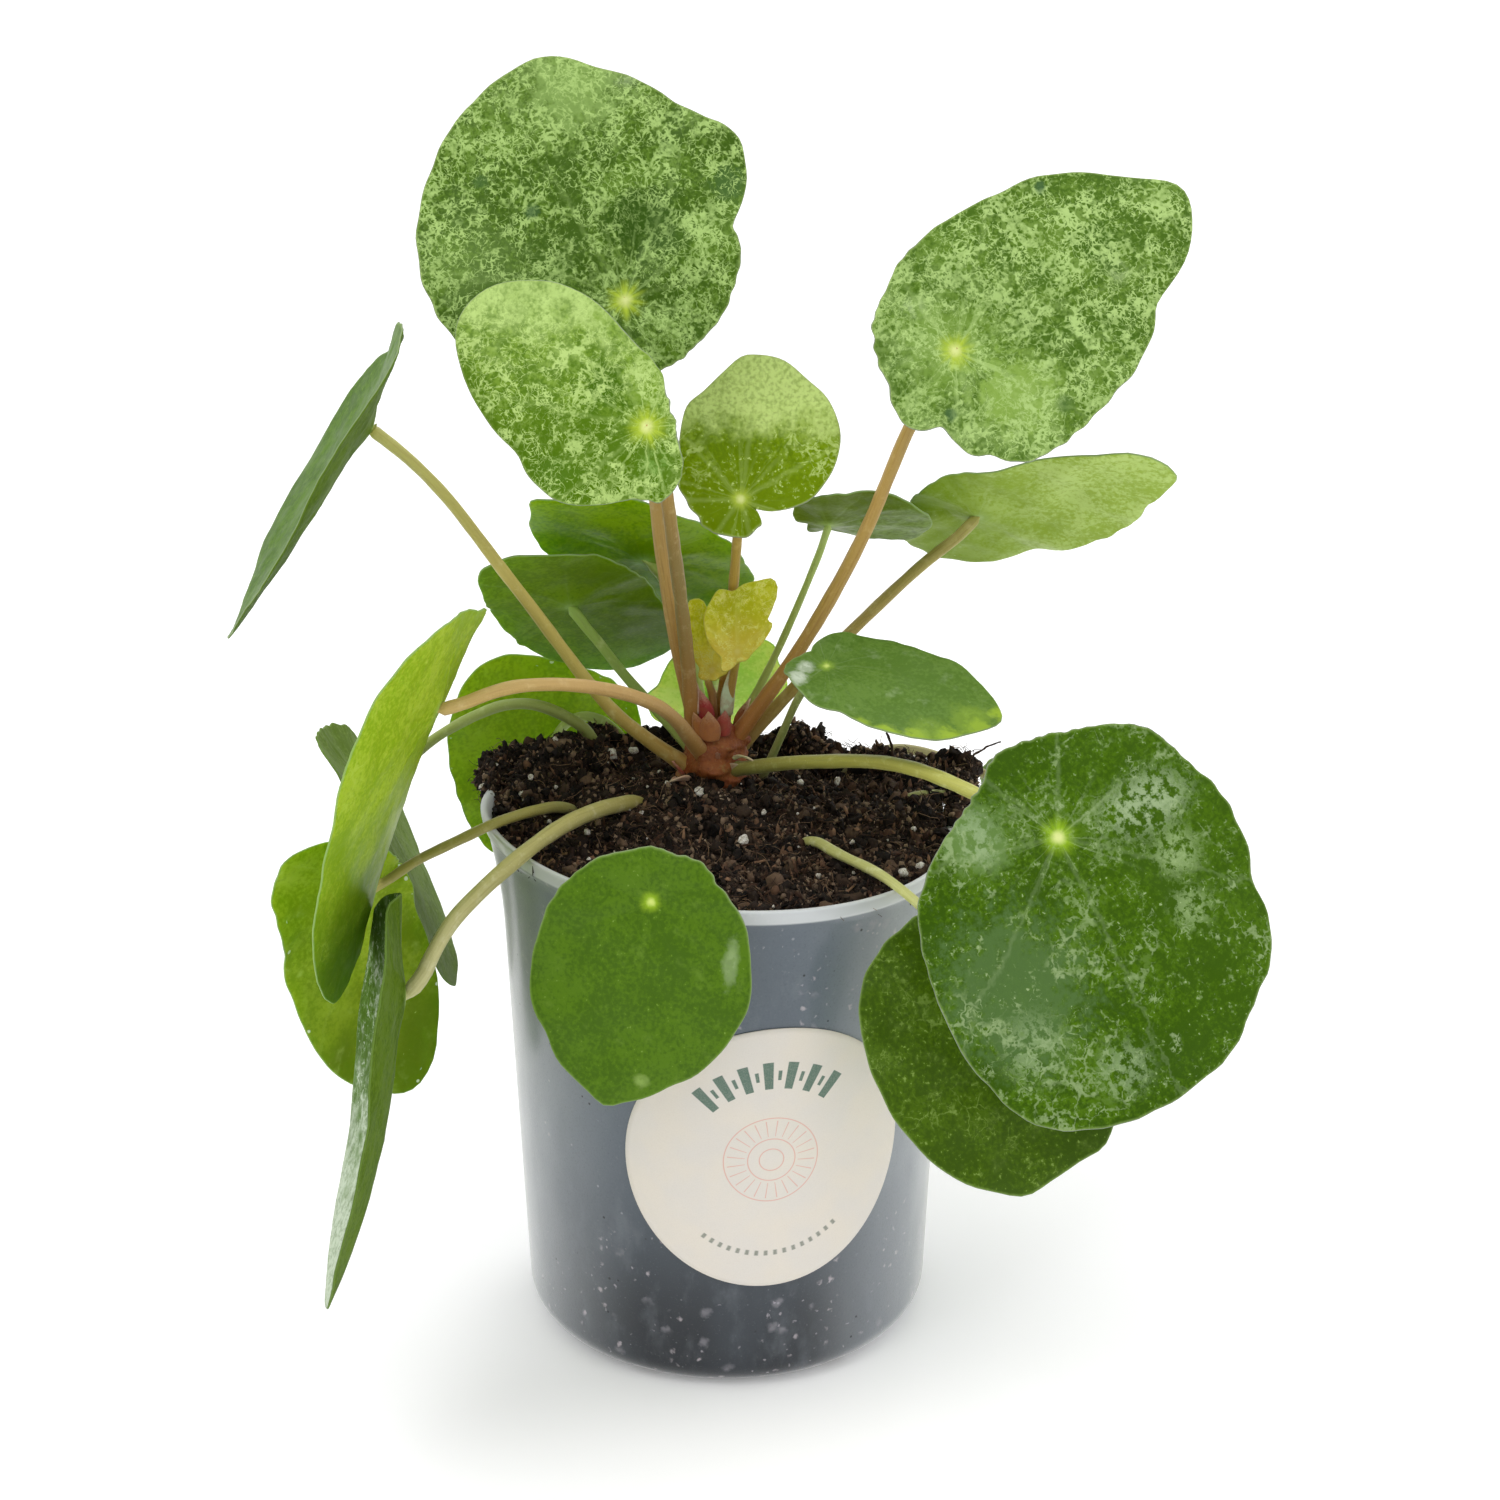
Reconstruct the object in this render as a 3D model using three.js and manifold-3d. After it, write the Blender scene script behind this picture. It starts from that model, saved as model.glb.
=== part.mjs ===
// A pilea house plant in its nursery pot. Millimetres, +Z up; the origin is the
// middle of the pot's underside, and -Y is the front, where the round label is.
import * as THREE from 'three';
import { mergeVertices } from 'three/addons/utils/BufferGeometryUtils.js';
import Module from 'manifold-3d';

const wasm = await Module();
wasm.setup();

// ---- driving dimensions -----------------------------------------------------

const FIT_GAP = 0.3;               // clearance between pieces that touch

const POT_HEIGHT = 141.5;
const POT_TOP_RADIUS = 60;
const POT_BASE_RADIUS = 54;
const POT_WALL = 1.4;
const POT_CORNER_RADIUS = 8;       // rounded edge between wall and floor
const POT_RIM_BEAD = 0.5;          // how far the rolled rim stands out
const POT_RIM_HEIGHT = 3.5;
const POT_SETTLING = {             // the soft wall above `from` has given way a little
  from: 114, fall: [0.06, 0.04],   // mm that the rim falls for each mm towards +X and +Y
  bulge: 4.5, turn: 172, spread: 28, // outward push, and its direction in degrees
};
const POT_SECTORS = 40;
const POT_CORNER_STEPS = 4;
const DRAIN_SLOTS = { count: 6, firstTurn: -55, width: 7, height: 2.4, depth: 12, radius: 50 };

const LABEL_DIAMETER = 77;
const LABEL_THICKNESS = 0.4;
const LABEL_CENTRE_HEIGHT = 71;
const LABEL_TURN = 12;             // degrees from the front towards +X
const LABEL_RINGS = 4;
const LABEL_SECTORS = 36;
const LABEL_STANDOFF = 0.45;       // clears the facets of the wall

const SOIL_FRONT_LEVEL = 138;
const SOIL_HEAPS = [               // where the soil stands higher, and how far that spreads
  { x: -3, y: 14, rise: 11, spread: 28 },
  { x: -45, y: 29, rise: 12.5, spread: 15 },
  { x: 12, y: 46, rise: 4, spread: 14 },
];
const SOIL_EDGE_LEVEL = 144;       // highest the soil stands against the wall
const SOIL_WALL_GAP = 0.8;
const SOIL_SHOULDER = 132;         // height down to which the side follows the wall
const SOIL_RINGS = 10;
const SOIL_SECTORS = 36;
const SOIL_LUMPS = { count: 60, rise: [0.8, 2.8], spread: [3, 6], roughness: 0.9, seed: 20 };

const CROWN = { x: -3, y: 16, foot: 141, top: 162, radius: 6.4, sectors: 16 };
const CROWN_SHOULDER = [           // inset from the radius, depth below the top
  [0, 10], [0.6, 7], [2.4, 3], [3.6, 0.8],
];
const CROWN_SCALES = [             // pointed bud scales round the shoulder
  { turn: -100, height: 7, width: 3.2, level: 154 },
  { turn: -35, height: 6, width: 2.8, level: 153.5 },
  { turn: 150, height: 6.5, width: 2.8, level: 153 },
  { turn: 75, height: 6, width: 2.6, level: 153 },
];
const CROWN_SCALE_FLATNESS = 0.35;
const CROWN_SCALE_SIDES = 6;

const BLADE_THICKNESS = 0.9;
const BLADE_SECTORS = 24;
const BLADE_RINGS = 3;
const BLADE_DIMPLE = { depth: 1.5, radius: 7 };
const BLADE_SCALE = 50;            // the bend heights below hold at this distance
const FOLD_ROUNDING = 0.14;        // share of that distance over which a fold is rounded

const PETIOLE_SIDES = 6;
const PETIOLE_STEPS = 10;
const PETIOLE_SINK = 8;            // length of a petiole inside the soil
const CROWN_REACH = 12;            // petioles that start nearer to the crown's axis grow on it
const SEAT_LEVEL = 150;            // height on the crown's axis at which their feet are aimed
const SEAT_STEPS = 12;

const COLOURS = {
  pot: 0x8d99a6, label: 0xe9e0d6, soil: 0x33261f, crown: 0xa8604a,
  blade: 0x4f8a2c, paleBlade: 0x8fb338, petiole: 0xb0a44e,
};

// ---- foliage ------------------------------------------------------------------
// Each leaf is a round blade that its petiole meets from below, off centre.
//   joint   where the petiole meets the blade
//   faces   [azimuth, elevation] of the upper side's normal, degrees; 0 faces -Y
//   tip     turn of the blade's tip in its own plane, degrees from level, upwards
//   reach   distance from the joint to the margin at even angles from the tip
//   bend    heights in mm at BLADE_SCALE: along and across the blade, fold at the
//           midline, and wave: [height, waves round the margin, phase]
//   route   the petiole's course up to the joint
//   stem    petiole radius at its foot and at the joint

const LEAVES = {
  top_left: {
    joint: [-25, 12, 280], faces: [2, 30], tip: 115,
    reach: [65, 60, 55, 48, 38, 30, 24, 22, 20, 21, 23, 27, 33, 46, 52, 60],
    bend: { along: -3, across: -3, wave: [1.5, 7, 40] },
    route: [[-8.6, 18.4, 162.8], [-12.8, 17, 184], [-16.4, 16, 209], [-20, 16.5, 246]],
    stem: [2.1, 1.7],
  },
  upper_front: {
    joint: [-19, -24, 258.5], faces: [-8, 25], tip: 150,
    reach: [56, 45, 33, 30, 23, 18, 19, 15, 10, 8, 8, 8, 10, 15, 23, 45],
    bend: { along: -4, across: -5, wave: [1.2, 6, 0] },
    route: [[-6.8, 13.2, 162.8], [-9, 9, 187], [-12.2, 1, 215], [-15.4, -11, 242]],
    stem: [2.1, 1.7],
  },
  top_right: {
    joint: [58, 2, 270], faces: [8, 32], tip: 25,
    reach: [71, 62, 43, 33, 27, 23, 22, 20, 20, 23, 24, 27, 33, 36, 41, 51],
    bend: { along: -4, across: -3, wave: [1.8, 8, 90] },
    route: [[3.4, 15.6, 159.5], [19, 12, 184.5], [34.8, 9, 216], [48, 7.5, 250]],
    stem: [2.1, 1.7],
  },
  upper_small: {
    joint: [4, 6, 229], faces: [0, 28], tip: 80,
    reach: [38, 31, 25, 19, 16, 12, 12, 11, 10, 10, 8, 6, 14, 23, 31, 36],
    bend: { along: -3, across: -3, wave: [0.8, 7, 20] },
    route: [[-1.4, 20, 164.5], [0.6, 19, 182], [2, 17, 200], [3.2, 12, 217]],
    stem: [1.5, 1.3],
  },
  right_flat: {
    joint: [67, 38, 214], faces: [170, 42], tip: 170,
    reach: [46, 38, 30, 26, 26, 30, 32, 26, 20, 18, 18, 18, 19, 22, 33, 60],
    bend: { along: -1, across: 3, wave: [1, 6, 0] },
    route: [[5.6, 20.4, 154.6], [14.8, 24, 165], [33.6, 30, 183], [53, 35, 200.5]],
    stem: [2, 1.6],
  },
  right_small: {
    joint: [27, 28, 215.5], faces: [178, 54], tip: 175,
    reach: [27, 28, 28, 18, 14, 12, 11, 10, 10, 11, 12, 15, 20, 23, 26, 27],
    bend: { along: -1, across: 4, wave: [0.8, 5, 0] },
    route: [[2.2, 23.4, 157.4], [10.5, 26, 172], [18, 27, 189], [23.5, 27.6, 203]],
    stem: [1.2, 1],
  },
  far_left: {
    joint: [-90, -4, 252], faces: [-92, 31.5], tip: -67,
    reach: [61, 56, 48, 42, 39, 36, 31, 28, 26, 28, 33, 40, 45, 48, 53, 58],
    bend: { along: 2, across: 7.5, wave: [0.6, 6, 30] },
    route: [[-12.6, 12.6, 151.7], [-28, 9, 167.3], [-52.8, 3, 204.6], [-74, -1.5, 236.5]],
    stem: [2.2, 1.6],
  },
  left_bright: {
    joint: [-73, -36, 188.8], faces: [-104, 21], tip: -71,
    reach: [79, 70, 56, 48, 44, 41, 35, 30, 27, 30, 35, 41, 44, 47, 55, 70],
    bend: { along: -3, across: 8, wave: [0.6, 5, 0] },
    route: [[-7.4, 7.6, 158.5], [-17, -6, 176.2], [-36.6, -20, 188], [-56.4, -30, 191.1]],
    stem: [2, 1.7],
  },
  left_hanging: {
    joint: [-99.5, 54, 124], faces: [-83, -27], tip: -73,
    reach: [58, 53, 44, 39, 37, 34, 28, 25, 23, 24, 27, 30, 31, 33, 39, 50],
    bend: { along: 3, across: -2, wave: [0.6, 6, 0] },
    route: [[-38.5, 37, 151.5], [-55, 41, 157.5], [-76, 48, 147], [-92, 53, 131.5]],
    stem: [1.8, 1.4],
  },
  left_low_rear: {
    joint: [-95, -12, 127], faces: [-140, 6], tip: -104,
    reach: [66, 55, 41, 32, 28, 29, 29, 23, 16, 13, 12, 12, 13, 15, 20, 38],
    bend: { along: -4, across: -4, wave: [1.5, 7, 0] },
    route: [[-41, 3, 143], [-56, -15, 148.8], [-70, -16, 142.5], [-83, -14, 134.5]],
    stem: [1.7, 1.3],
  },
  left_low_folded: {
    joint: [-82, -60, 120], faces: [-83, 6.5], tip: -67.5,
    reach: [79, 63, 46, 38, 35, 34, 30, 27, 26, 27, 30, 34, 35, 37, 46, 62],
    bend: { along: 6, across: -2.5, fold: 14, wave: [0.8, 5, 90] },
    route: [[-22, 2, 144.5], [-34.5, -14, 150], [-50, -36, 149.4], [-70, -54, 135.5]],
    stem: [2.2, 2],
  },
  front: {
    joint: [-18, -72, 152], faces: [-3, 12], tip: -70,
    reach: [44, 35, 27, 22, 18, 16, 14, 14, 14, 16, 19, 24, 30, 40, 49, 52],
    bend: { along: -3, across: -3, wave: [0.8, 6, 0] },
    route: [[-17, -36, 139], [-17.2, -44, 149], [-17.6, -56, 154.5], [-18, -65, 154]],
    stem: [1.7, 1.3],
  },
  right_large: {
    joint: [82, -66, 167], faces: [6, 28], tip: -50,
    reach: [68, 59, 48, 40, 35, 30, 26, 25, 24, 23, 27, 36, 45, 57, 71, 71],
    bend: { along: -4, across: -3, wave: [1.5, 8, 0] },
    route: [[4, 8.4, 152], [19.4, -6, 160.7], [45, -29.5, 170], [68.4, -52, 169]],
    stem: [2.1, 1.8],
  },
  right_low: {
    joint: [59, -57, 133], faces: [4, 26], tip: -60,
    reach: [62, 53, 37, 22, 14, 11, 10, 10, 11, 13, 16, 22, 30, 38, 51, 63],
    bend: { along: -3, across: -3, wave: [1.2, 8, 45] },
    route: [[21, -13, 141.4], [30, -25, 142.7], [41, -39.5, 143.1], [51, -50, 138.7]],
    stem: [1.5, 1.3],
  },
  right_round: {
    joint: [26, -12, 191], faces: [5, 74], tip: -21,
    reach: [45, 34, 23, 17, 13, 11, 10, 9, 9, 11, 12, 13, 16, 21, 31, 41],
    bend: { along: -3, across: -2, wave: [0.8, 5, 0] },
    route: [[10.5, 17, 148], [14.6, 12.5, 160], [19, 5, 174], [23.5, -4, 184.5]],
    stem: [1.2, 1],
  },
  rear_upper: {
    joint: [-22, 48, 198], faces: [178, 42], tip: 10,
    reach: [28, 35, 40, 34, 28, 26, 23, 26, 28, 34, 32, 32, 28, 22, 21, 22],
    bend: { along: -2, across: -2, wave: [1, 6, 0] },
    route: [[-5.4, 25, 155], [-8, 33.5, 168.4], [-12, 43, 181], [-17.5, 48.5, 191.5]],
    stem: [1.6, 1.3],
  },
  rear_left: {
    joint: [-42, 38, 188.5], faces: [190, 42], tip: 30,
    reach: [27, 33, 32, 26, 24, 23, 22, 26, 36, 46, 40, 33, 26, 22, 21, 23],
    bend: { along: -2, across: -2, wave: [1, 6, 0] },
    route: [[-10.4, 22.6, 153], [-18, 28.5, 160], [-27, 33.5, 168.5], [-36, 36.6, 179.5]],
    stem: [1.6, 1.3],
  },
  rear_low: {
    joint: [-50, 70.5, 120], faces: [196, 8], tip: -90,
    reach: [22, 24, 26, 27, 28, 32, 40, 44, 42, 38, 34, 28, 25, 24, 24, 22],
    bend: { along: -3, across: -3, wave: [1.2, 7, 0] },
    route: [[-27, 43, 144], [-35, 51, 148.6], [-44, 60, 144], [-49.4, 66, 132]],
    stem: [1.7, 1.3],
  },
  rear_centre: {
    joint: [-4, 68, 149], faces: [182, 22], tip: 90,
    reach: [20, 20, 20, 21, 21, 18, 15, 13, 13, 14, 17, 20, 22, 21, 20, 20],
    bend: { along: -2, across: -2, wave: [0.8, 6, 0] },
    route: [[-2.6, 25.4, 152], [-2.6, 36, 158], [-3, 50, 159], [-3.6, 60, 155.5]],
    stem: [1.4, 1.2],
  },
  rear_right: {
    joint: [92, 66, 112], faces: [125, 28], tip: -80,
    reach: [46, 42, 36, 32, 29, 25, 22, 20, 19, 20, 22, 25, 29, 32, 36, 42],
    bend: { along: -4, across: -3, wave: [1.2, 7, 0] },
    route: [[33, 39, 139], [45, 46, 141.7], [60, 54, 135.6], [76, 61, 125]],
    stem: [1.6, 1.3],
  },
  rear_right_low: {
    joint: [94, 21, 112], faces: [80, 24], tip: -95,
    reach: [40, 37, 32, 28, 26, 22, 19, 17, 16, 17, 19, 22, 26, 28, 32, 37],
    bend: { along: -4, across: -3, wave: [1, 6, 0] },
    route: [[45, 13.5, 139.6], [57, 16, 141.6], [70, 18.6, 136.5], [84, 20, 124]],
    stem: [1.5, 1.2],
  },
  young: {
    joint: [3, 7, 186.5], faces: [-6, 24], tip: 60, pale: true,
    reach: [20, 18, 16, 14, 10, 7, 5, 4, 3, 3, 3, 3, 3.5, 4, 6, 11],
    bend: { along: -2, across: 3, wave: [0.6, 5, 0] },
    route: [[0.4, 14.4, 165], [0.9, 13.6, 170], [1.8, 12, 176], [2.6, 10, 181.5]],
    stem: [1.2, 1],
  },
  bud: {
    joint: [-4, 12, 179], faces: [-20, 12], tip: 104, pale: true,
    reach: [19, 12, 7, 4, 3, 3, 3, 3, 3, 3, 3, 4, 5, 6, 8, 12],
    bend: { along: -1, across: 5, wave: [0.4, 4, 0] },
    route: [[-3.4, 16, 165.5], [-3.5, 16, 169], [-3.9, 15.6, 172], [-4.3, 14.6, 175.5]],
    stem: [1.1, 0.9],
  },
};

// ---- helpers --------------------------------------------------------------------

const radians = THREE.MathUtils.degToRad;

function seededDraws(seed) {
  let state = seed;
  return () => {
    state = (state * 16807) % 2147483647;
    return (state - 1) / 2147483646;
  };
}

function indexedGeometry(points, triangles) {
  const geometry = new THREE.BufferGeometry();
  geometry.setAttribute('position', new THREE.Float32BufferAttribute(points, 3));
  geometry.setIndex(triangles);
  geometry.computeVertexNormals();
  return geometry;
}

function toSolid(geometry) {
  const bare = geometry.clone();
  bare.deleteAttribute('normal');
  bare.deleteAttribute('uv');
  const merged = mergeVertices(bare, 1e-4);
  const vertProperties = new Float32Array(merged.attributes.position.array);
  const triVerts = new Uint32Array(merged.index.array);
  return new wasm.Manifold(new wasm.Mesh({ numProp: 3, vertProperties, triVerts }));
}

function toGeometry(solid) {
  const mesh = solid.getMesh();
  return indexedGeometry(Array.from(mesh.vertProperties), Array.from(mesh.triVerts));
}

function material(colour, roughness, extra = {}) {
  return new THREE.MeshStandardMaterial({ color: colour, roughness, metalness: 0, ...extra });
}

function lathe(profile, sectors) {
  const points = profile.map(([r, z]) => new THREE.Vector2(r, z));
  return new THREE.LatheGeometry(points, sectors).rotateX(Math.PI / 2);
}

// Quarter circle of `steps` pieces from angle a0 to a1 (degrees) round (r, z).
function arcPoints(r, z, radius, a0, a1, steps) {
  return Array.from({ length: steps + 1 }, (_, k) => {
    const a = radians(a0 + ((a1 - a0) * k) / steps);
    return [r + radius * Math.cos(a), z + radius * Math.sin(a)];
  });
}

function wallRadius(z) {
  return POT_BASE_RADIUS + ((POT_TOP_RADIUS - POT_BASE_RADIUS) * z) / POT_HEIGHT;
}

// Moves the points of a body that is in the settled upper part of the wall.
function settle(solid) {
  const { from, fall, bulge, turn, spread } = POT_SETTLING;
  return solid.warp((p) => {
    const share = Math.max(0, (p[2] - from) / (POT_HEIGHT - from)) ** 2;
    const away = (Math.atan2(p[1], p[0]) * 180) / Math.PI - turn;
    const turned = away < -180 ? away + 360 : away;
    const reach = Math.hypot(p[0], p[1]) / POT_TOP_RADIUS;
    const push = 1 + (bulge / POT_TOP_RADIUS) * share * reach * Math.exp(-((turned / spread) ** 2));
    p[2] -= (p[0] * fall[0] + p[1] * fall[1]) * Math.min(share, 1);
    p[0] *= push;
    p[1] *= push;
  });
}

// ---- pot, label, soil, crown --------------------------------------------------------

function buildPot() {
  const cornerCentre = wallRadius(POT_CORNER_RADIUS) - POT_CORNER_RADIUS;
  const rimFoot = POT_HEIGHT - POT_RIM_HEIGHT;
  const settling = [POT_SETTLING.from, (POT_SETTLING.from + rimFoot) / 2];
  const profile = [
    [0, 0],
    ...arcPoints(
      cornerCentre, POT_CORNER_RADIUS, POT_CORNER_RADIUS, -90, 0, POT_CORNER_STEPS),
    ...settling.map((z) => [wallRadius(z), z]),
    [wallRadius(rimFoot), rimFoot],
    [wallRadius(rimFoot) + POT_RIM_BEAD, rimFoot + POT_RIM_BEAD],
    [POT_TOP_RADIUS + POT_RIM_BEAD, POT_HEIGHT],
    [POT_TOP_RADIUS - POT_WALL, POT_HEIGHT],
    ...settling.toReversed().map((z) => [wallRadius(z) - POT_WALL, z]),
    ...arcPoints(
      cornerCentre, POT_CORNER_RADIUS, POT_CORNER_RADIUS - POT_WALL, 0, -90, POT_CORNER_STEPS),
    [0, POT_WALL],
  ];
  let solid = toSolid(lathe(profile, POT_SECTORS));
  const { count, firstTurn, width, height, depth, radius } = DRAIN_SLOTS;
  for (let k = 0; k < count; k += 1) {
    const slot = new THREE.BoxGeometry(depth, width, 2 * height).translate(radius, 0, 0);
    slot.rotateZ(radians(firstTurn + (360 * k) / count));
    solid = solid.subtract(toSolid(slot));
  }
  return new THREE.Mesh(toGeometry(settle(solid)), material(COLOURS.pot, 0.45));
}

// A round sticker wrapped on the wall: a disc of rings, one face inside, one outside.
function buildLabel() {
  const points = [];
  const place = (ring, sector, lift) => {
    const reach = (LABEL_DIAMETER / 2) * (ring / LABEL_RINGS);
    const a = (2 * Math.PI * sector) / LABEL_SECTORS;
    const z = LABEL_CENTRE_HEIGHT + reach * Math.sin(a);
    const radius = wallRadius(z) + LABEL_STANDOFF + lift;
    const turn = radians(LABEL_TURN - 90) + (reach * Math.cos(a)) / wallRadius(z);
    points.push(radius * Math.cos(turn), radius * Math.sin(turn), z);
  };
  return new THREE.Mesh(
    shellOfRings(points, place, LABEL_RINGS, LABEL_SECTORS, [LABEL_THICKNESS, 0]),
    material(COLOURS.label, 0.7));
}

// A closed sheet: the rings of `place` at the first lift, again at the second, and
// the edge between them. Both faces are split into triangles alike.
function shellOfRings(points, place, rings, sectors, lifts) {
  const perFace = 1 + rings * sectors;
  for (const lift of lifts) {
    place(0, 0, lift);
    for (let ring = 1; ring <= rings; ring += 1) {
      for (let s = 0; s < sectors; s += 1) place(ring, s, lift);
    }
  }
  const at = (face, ring, s) => {
    const inFace = ring === 0 ? 0 : 1 + (ring - 1) * sectors + (s % sectors);
    return face * perFace + inFace;
  };
  const triangles = [];
  const both = (a, b, c) => {
    triangles.push(at(0, ...a), at(0, ...b), at(0, ...c));
    triangles.push(at(1, ...a), at(1, ...c), at(1, ...b));
  };
  for (let s = 0; s < sectors; s += 1) {
    both([0, 0], [1, s], [1, s + 1]);
    for (let ring = 1; ring < rings; ring += 1) {
      both([ring, s], [ring + 1, s], [ring + 1, s + 1]);
      both([ring, s], [ring + 1, s + 1], [ring, s + 1]);
    }
    triangles.push(at(0, rings, s), at(1, rings, s), at(1, rings, s + 1));
    triangles.push(at(0, rings, s), at(1, rings, s + 1), at(0, rings, s + 1));
  }
  return indexedGeometry(points, triangles);
}

// Height of the soil's top at (x, y): the front level, the heaps and the seeded lumps.
function soilHeight(lumps) {
  return (x, y) => {
    let z = SOIL_FRONT_LEVEL;
    for (const heap of [...SOIL_HEAPS, ...lumps]) {
      const away = (x - heap.x) ** 2 + (y - heap.y) ** 2;
      z += heap.rise * Math.exp(-away / heap.spread ** 2);
    }
    return z;
  };
}

// The soil fills the pot, and its lumpy top is heaped round the crown and at the rear left.
function buildSoilBody() {
  const draw = seededDraws(SOIL_LUMPS.seed);
  const between = ([low, high]) => low + (high - low) * draw();
  const topRadius = wallRadius(SOIL_FRONT_LEVEL) - POT_WALL - SOIL_WALL_GAP;
  const lumps = Array.from({ length: SOIL_LUMPS.count }, () => {
    const turn = 2 * Math.PI * draw();
    const reach = topRadius * Math.sqrt(draw());
    const rise = between(SOIL_LUMPS.rise);
    const spread = between(SOIL_LUMPS.spread);
    return { x: reach * Math.cos(turn), y: reach * Math.sin(turn), rise, spread };
  });
  const height = soilHeight(lumps);
  const points = [0, 0, height(0, 0)];
  const addLoop = (reach, level) => {
    for (let s = 0; s < SOIL_SECTORS; s += 1) {
      const a = (2 * Math.PI * s) / SOIL_SECTORS;
      const x = reach * Math.cos(a);
      const y = reach * Math.sin(a);
      points.push(x, y, level(x, y));
    }
  };
  const rough = (x, y) => height(x, y) + SOIL_LUMPS.roughness * (draw() - 0.5);
  for (let ring = 1; ring < SOIL_RINGS; ring += 1) {
    addLoop(topRadius * (ring / SOIL_RINGS), rough);
  }
  addLoop(topRadius, (x, y) => Math.min(rough(x, y), SOIL_EDGE_LEVEL));
  const cornerCentre = wallRadius(POT_CORNER_RADIUS) - POT_CORNER_RADIUS;
  const cornerRadius = POT_CORNER_RADIUS - POT_WALL - SOIL_WALL_GAP;
  const side = [
    ...[SOIL_SHOULDER, POT_SETTLING.from].map(
      (z) => [wallRadius(z) - POT_WALL - SOIL_WALL_GAP, z]),
    ...arcPoints(cornerCentre, POT_CORNER_RADIUS, cornerRadius, 0, -90, POT_CORNER_STEPS),
  ];
  for (const [reach, z] of side) addLoop(reach, () => z);
  points.push(0, 0, POT_WALL + FIT_GAP);
  return toSolid(indexedGeometry(points, closedLoops(SOIL_RINGS + side.length, SOIL_SECTORS)));
}

// Triangles of a body whose points are its first pole, its loops and its last pole.
function closedLoops(loops, sides) {
  const last = 1 + loops * sides;
  const at = (loop, s) => 1 + loop * sides + (s % sides);
  const triangles = [];
  for (let s = 0; s < sides; s += 1) {
    triangles.push(0, at(0, s), at(0, s + 1));
    for (let loop = 0; loop < loops - 1; loop += 1) {
      triangles.push(at(loop, s), at(loop + 1, s), at(loop + 1, s + 1));
      triangles.push(at(loop, s), at(loop + 1, s + 1), at(loop, s + 1));
    }
    triangles.push(last, at(loops - 1, s + 1), at(loops - 1, s));
  }
  return triangles;
}

// The short woody stem with its bud scales, wider by `grow` all round.
function crownSolid(grow) {
  const { x, y, foot, top, radius, sectors } = CROWN;
  const profile = [
    [0, foot - grow], [radius + grow, foot - grow],
    ...CROWN_SHOULDER.map(([inset, depth]) => [radius + grow - inset, top + grow - depth]),
    [0, top + grow],
  ];
  let solid = toSolid(lathe(profile, sectors).translate(x, y, 0));
  for (const { turn, height, width, level } of CROWN_SCALES) {
    const scale = new THREE.ConeGeometry(width + grow, height + 2 * grow, CROWN_SCALE_SIDES);
    scale.rotateX(Math.PI / 2).scale(CROWN_SCALE_FLATNESS, 1, 1).translate(radius, 0, level);
    scale.rotateZ(radians(turn)).translate(x, y, 0);
    solid = solid.add(toSolid(scale));
  }
  return solid;
}

// ---- leaves ------------------------------------------------------------------------------

// The blade's own frame: `up` is the upper side's normal, `tip` points to its tip.
function bladeFrame({ faces: [azimuth, elevation], tip: turn }) {
  const a = radians(azimuth);
  const e = radians(elevation);
  const t = radians(turn);
  const up = new THREE.Vector3(Math.sin(a) * Math.cos(e), -Math.cos(a) * Math.cos(e), Math.sin(e));
  const level = new THREE.Vector3(Math.cos(a), Math.sin(a), 0);
  const rise = new THREE.Vector3().crossVectors(up, level);
  const tip = level.multiplyScalar(Math.cos(t)).addScaledVector(rise, Math.sin(t));
  return { up, tip, side: new THREE.Vector3().crossVectors(up, tip) };
}

// Distance to the margin at a share of a full turn, smooth through the listed values.
function marginReach(reach, share) {
  const n = reach.length;
  const at = share * n;
  const k = Math.floor(at);
  const f = at - k;
  const [p0, p1, p2, p3] = [-1, 0, 1, 2].map((step) => reach[(k + step + n) % n]);
  const slope = (p2 - p0) * f;
  const square = (2 * p0 - 5 * p1 + 4 * p2 - p3) * f * f;
  const cube = (3 * p1 - p0 - 3 * p2 + p3) * f * f * f;
  return 0.5 * (2 * p1 + slope + square + cube);
}

// Height of the blade's middle surface above its plane, u towards the tip and v across.
function bladeLift({ along, across, fold = 0, wave }, u, v, out, angle) {
  const a = u / BLADE_SCALE;
  const b = v / BLADE_SCALE;
  const [height, waves, phase] = wave;
  const dimple = BLADE_DIMPLE.depth * Math.exp(-(u * u + v * v) / BLADE_DIMPLE.radius ** 2);
  const crease = fold * (Math.hypot(b, FOLD_ROUNDING) - FOLD_ROUNDING);
  const ripple = height * out ** 3 * Math.sin(waves * angle + radians(phase));
  return along * a * a + across * b * b + crease + ripple - dimple;
}

function bladeGeometry(leaf) {
  const { up, tip, side } = bladeFrame(leaf);
  const joint = new THREE.Vector3(...leaf.joint);
  const points = [];
  const place = (ring, sector, lift) => {
    const angle = (2 * Math.PI * sector) / BLADE_SECTORS;
    const out = ring / BLADE_RINGS;
    const distance = out * marginReach(leaf.reach, sector / BLADE_SECTORS);
    const u = distance * Math.cos(angle);
    const v = distance * Math.sin(angle);
    const height = bladeLift(leaf.bend, u, v, out, angle) + lift;
    const p = joint.clone().addScaledVector(tip, u).addScaledVector(side, v);
    points.push(...p.addScaledVector(up, height).toArray());
  };
  const lifts = [BLADE_THICKNESS / 2, -BLADE_THICKNESS / 2];
  return shellOfRings(points, place, BLADE_RINGS, BLADE_SECTORS, lifts);
}

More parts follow.
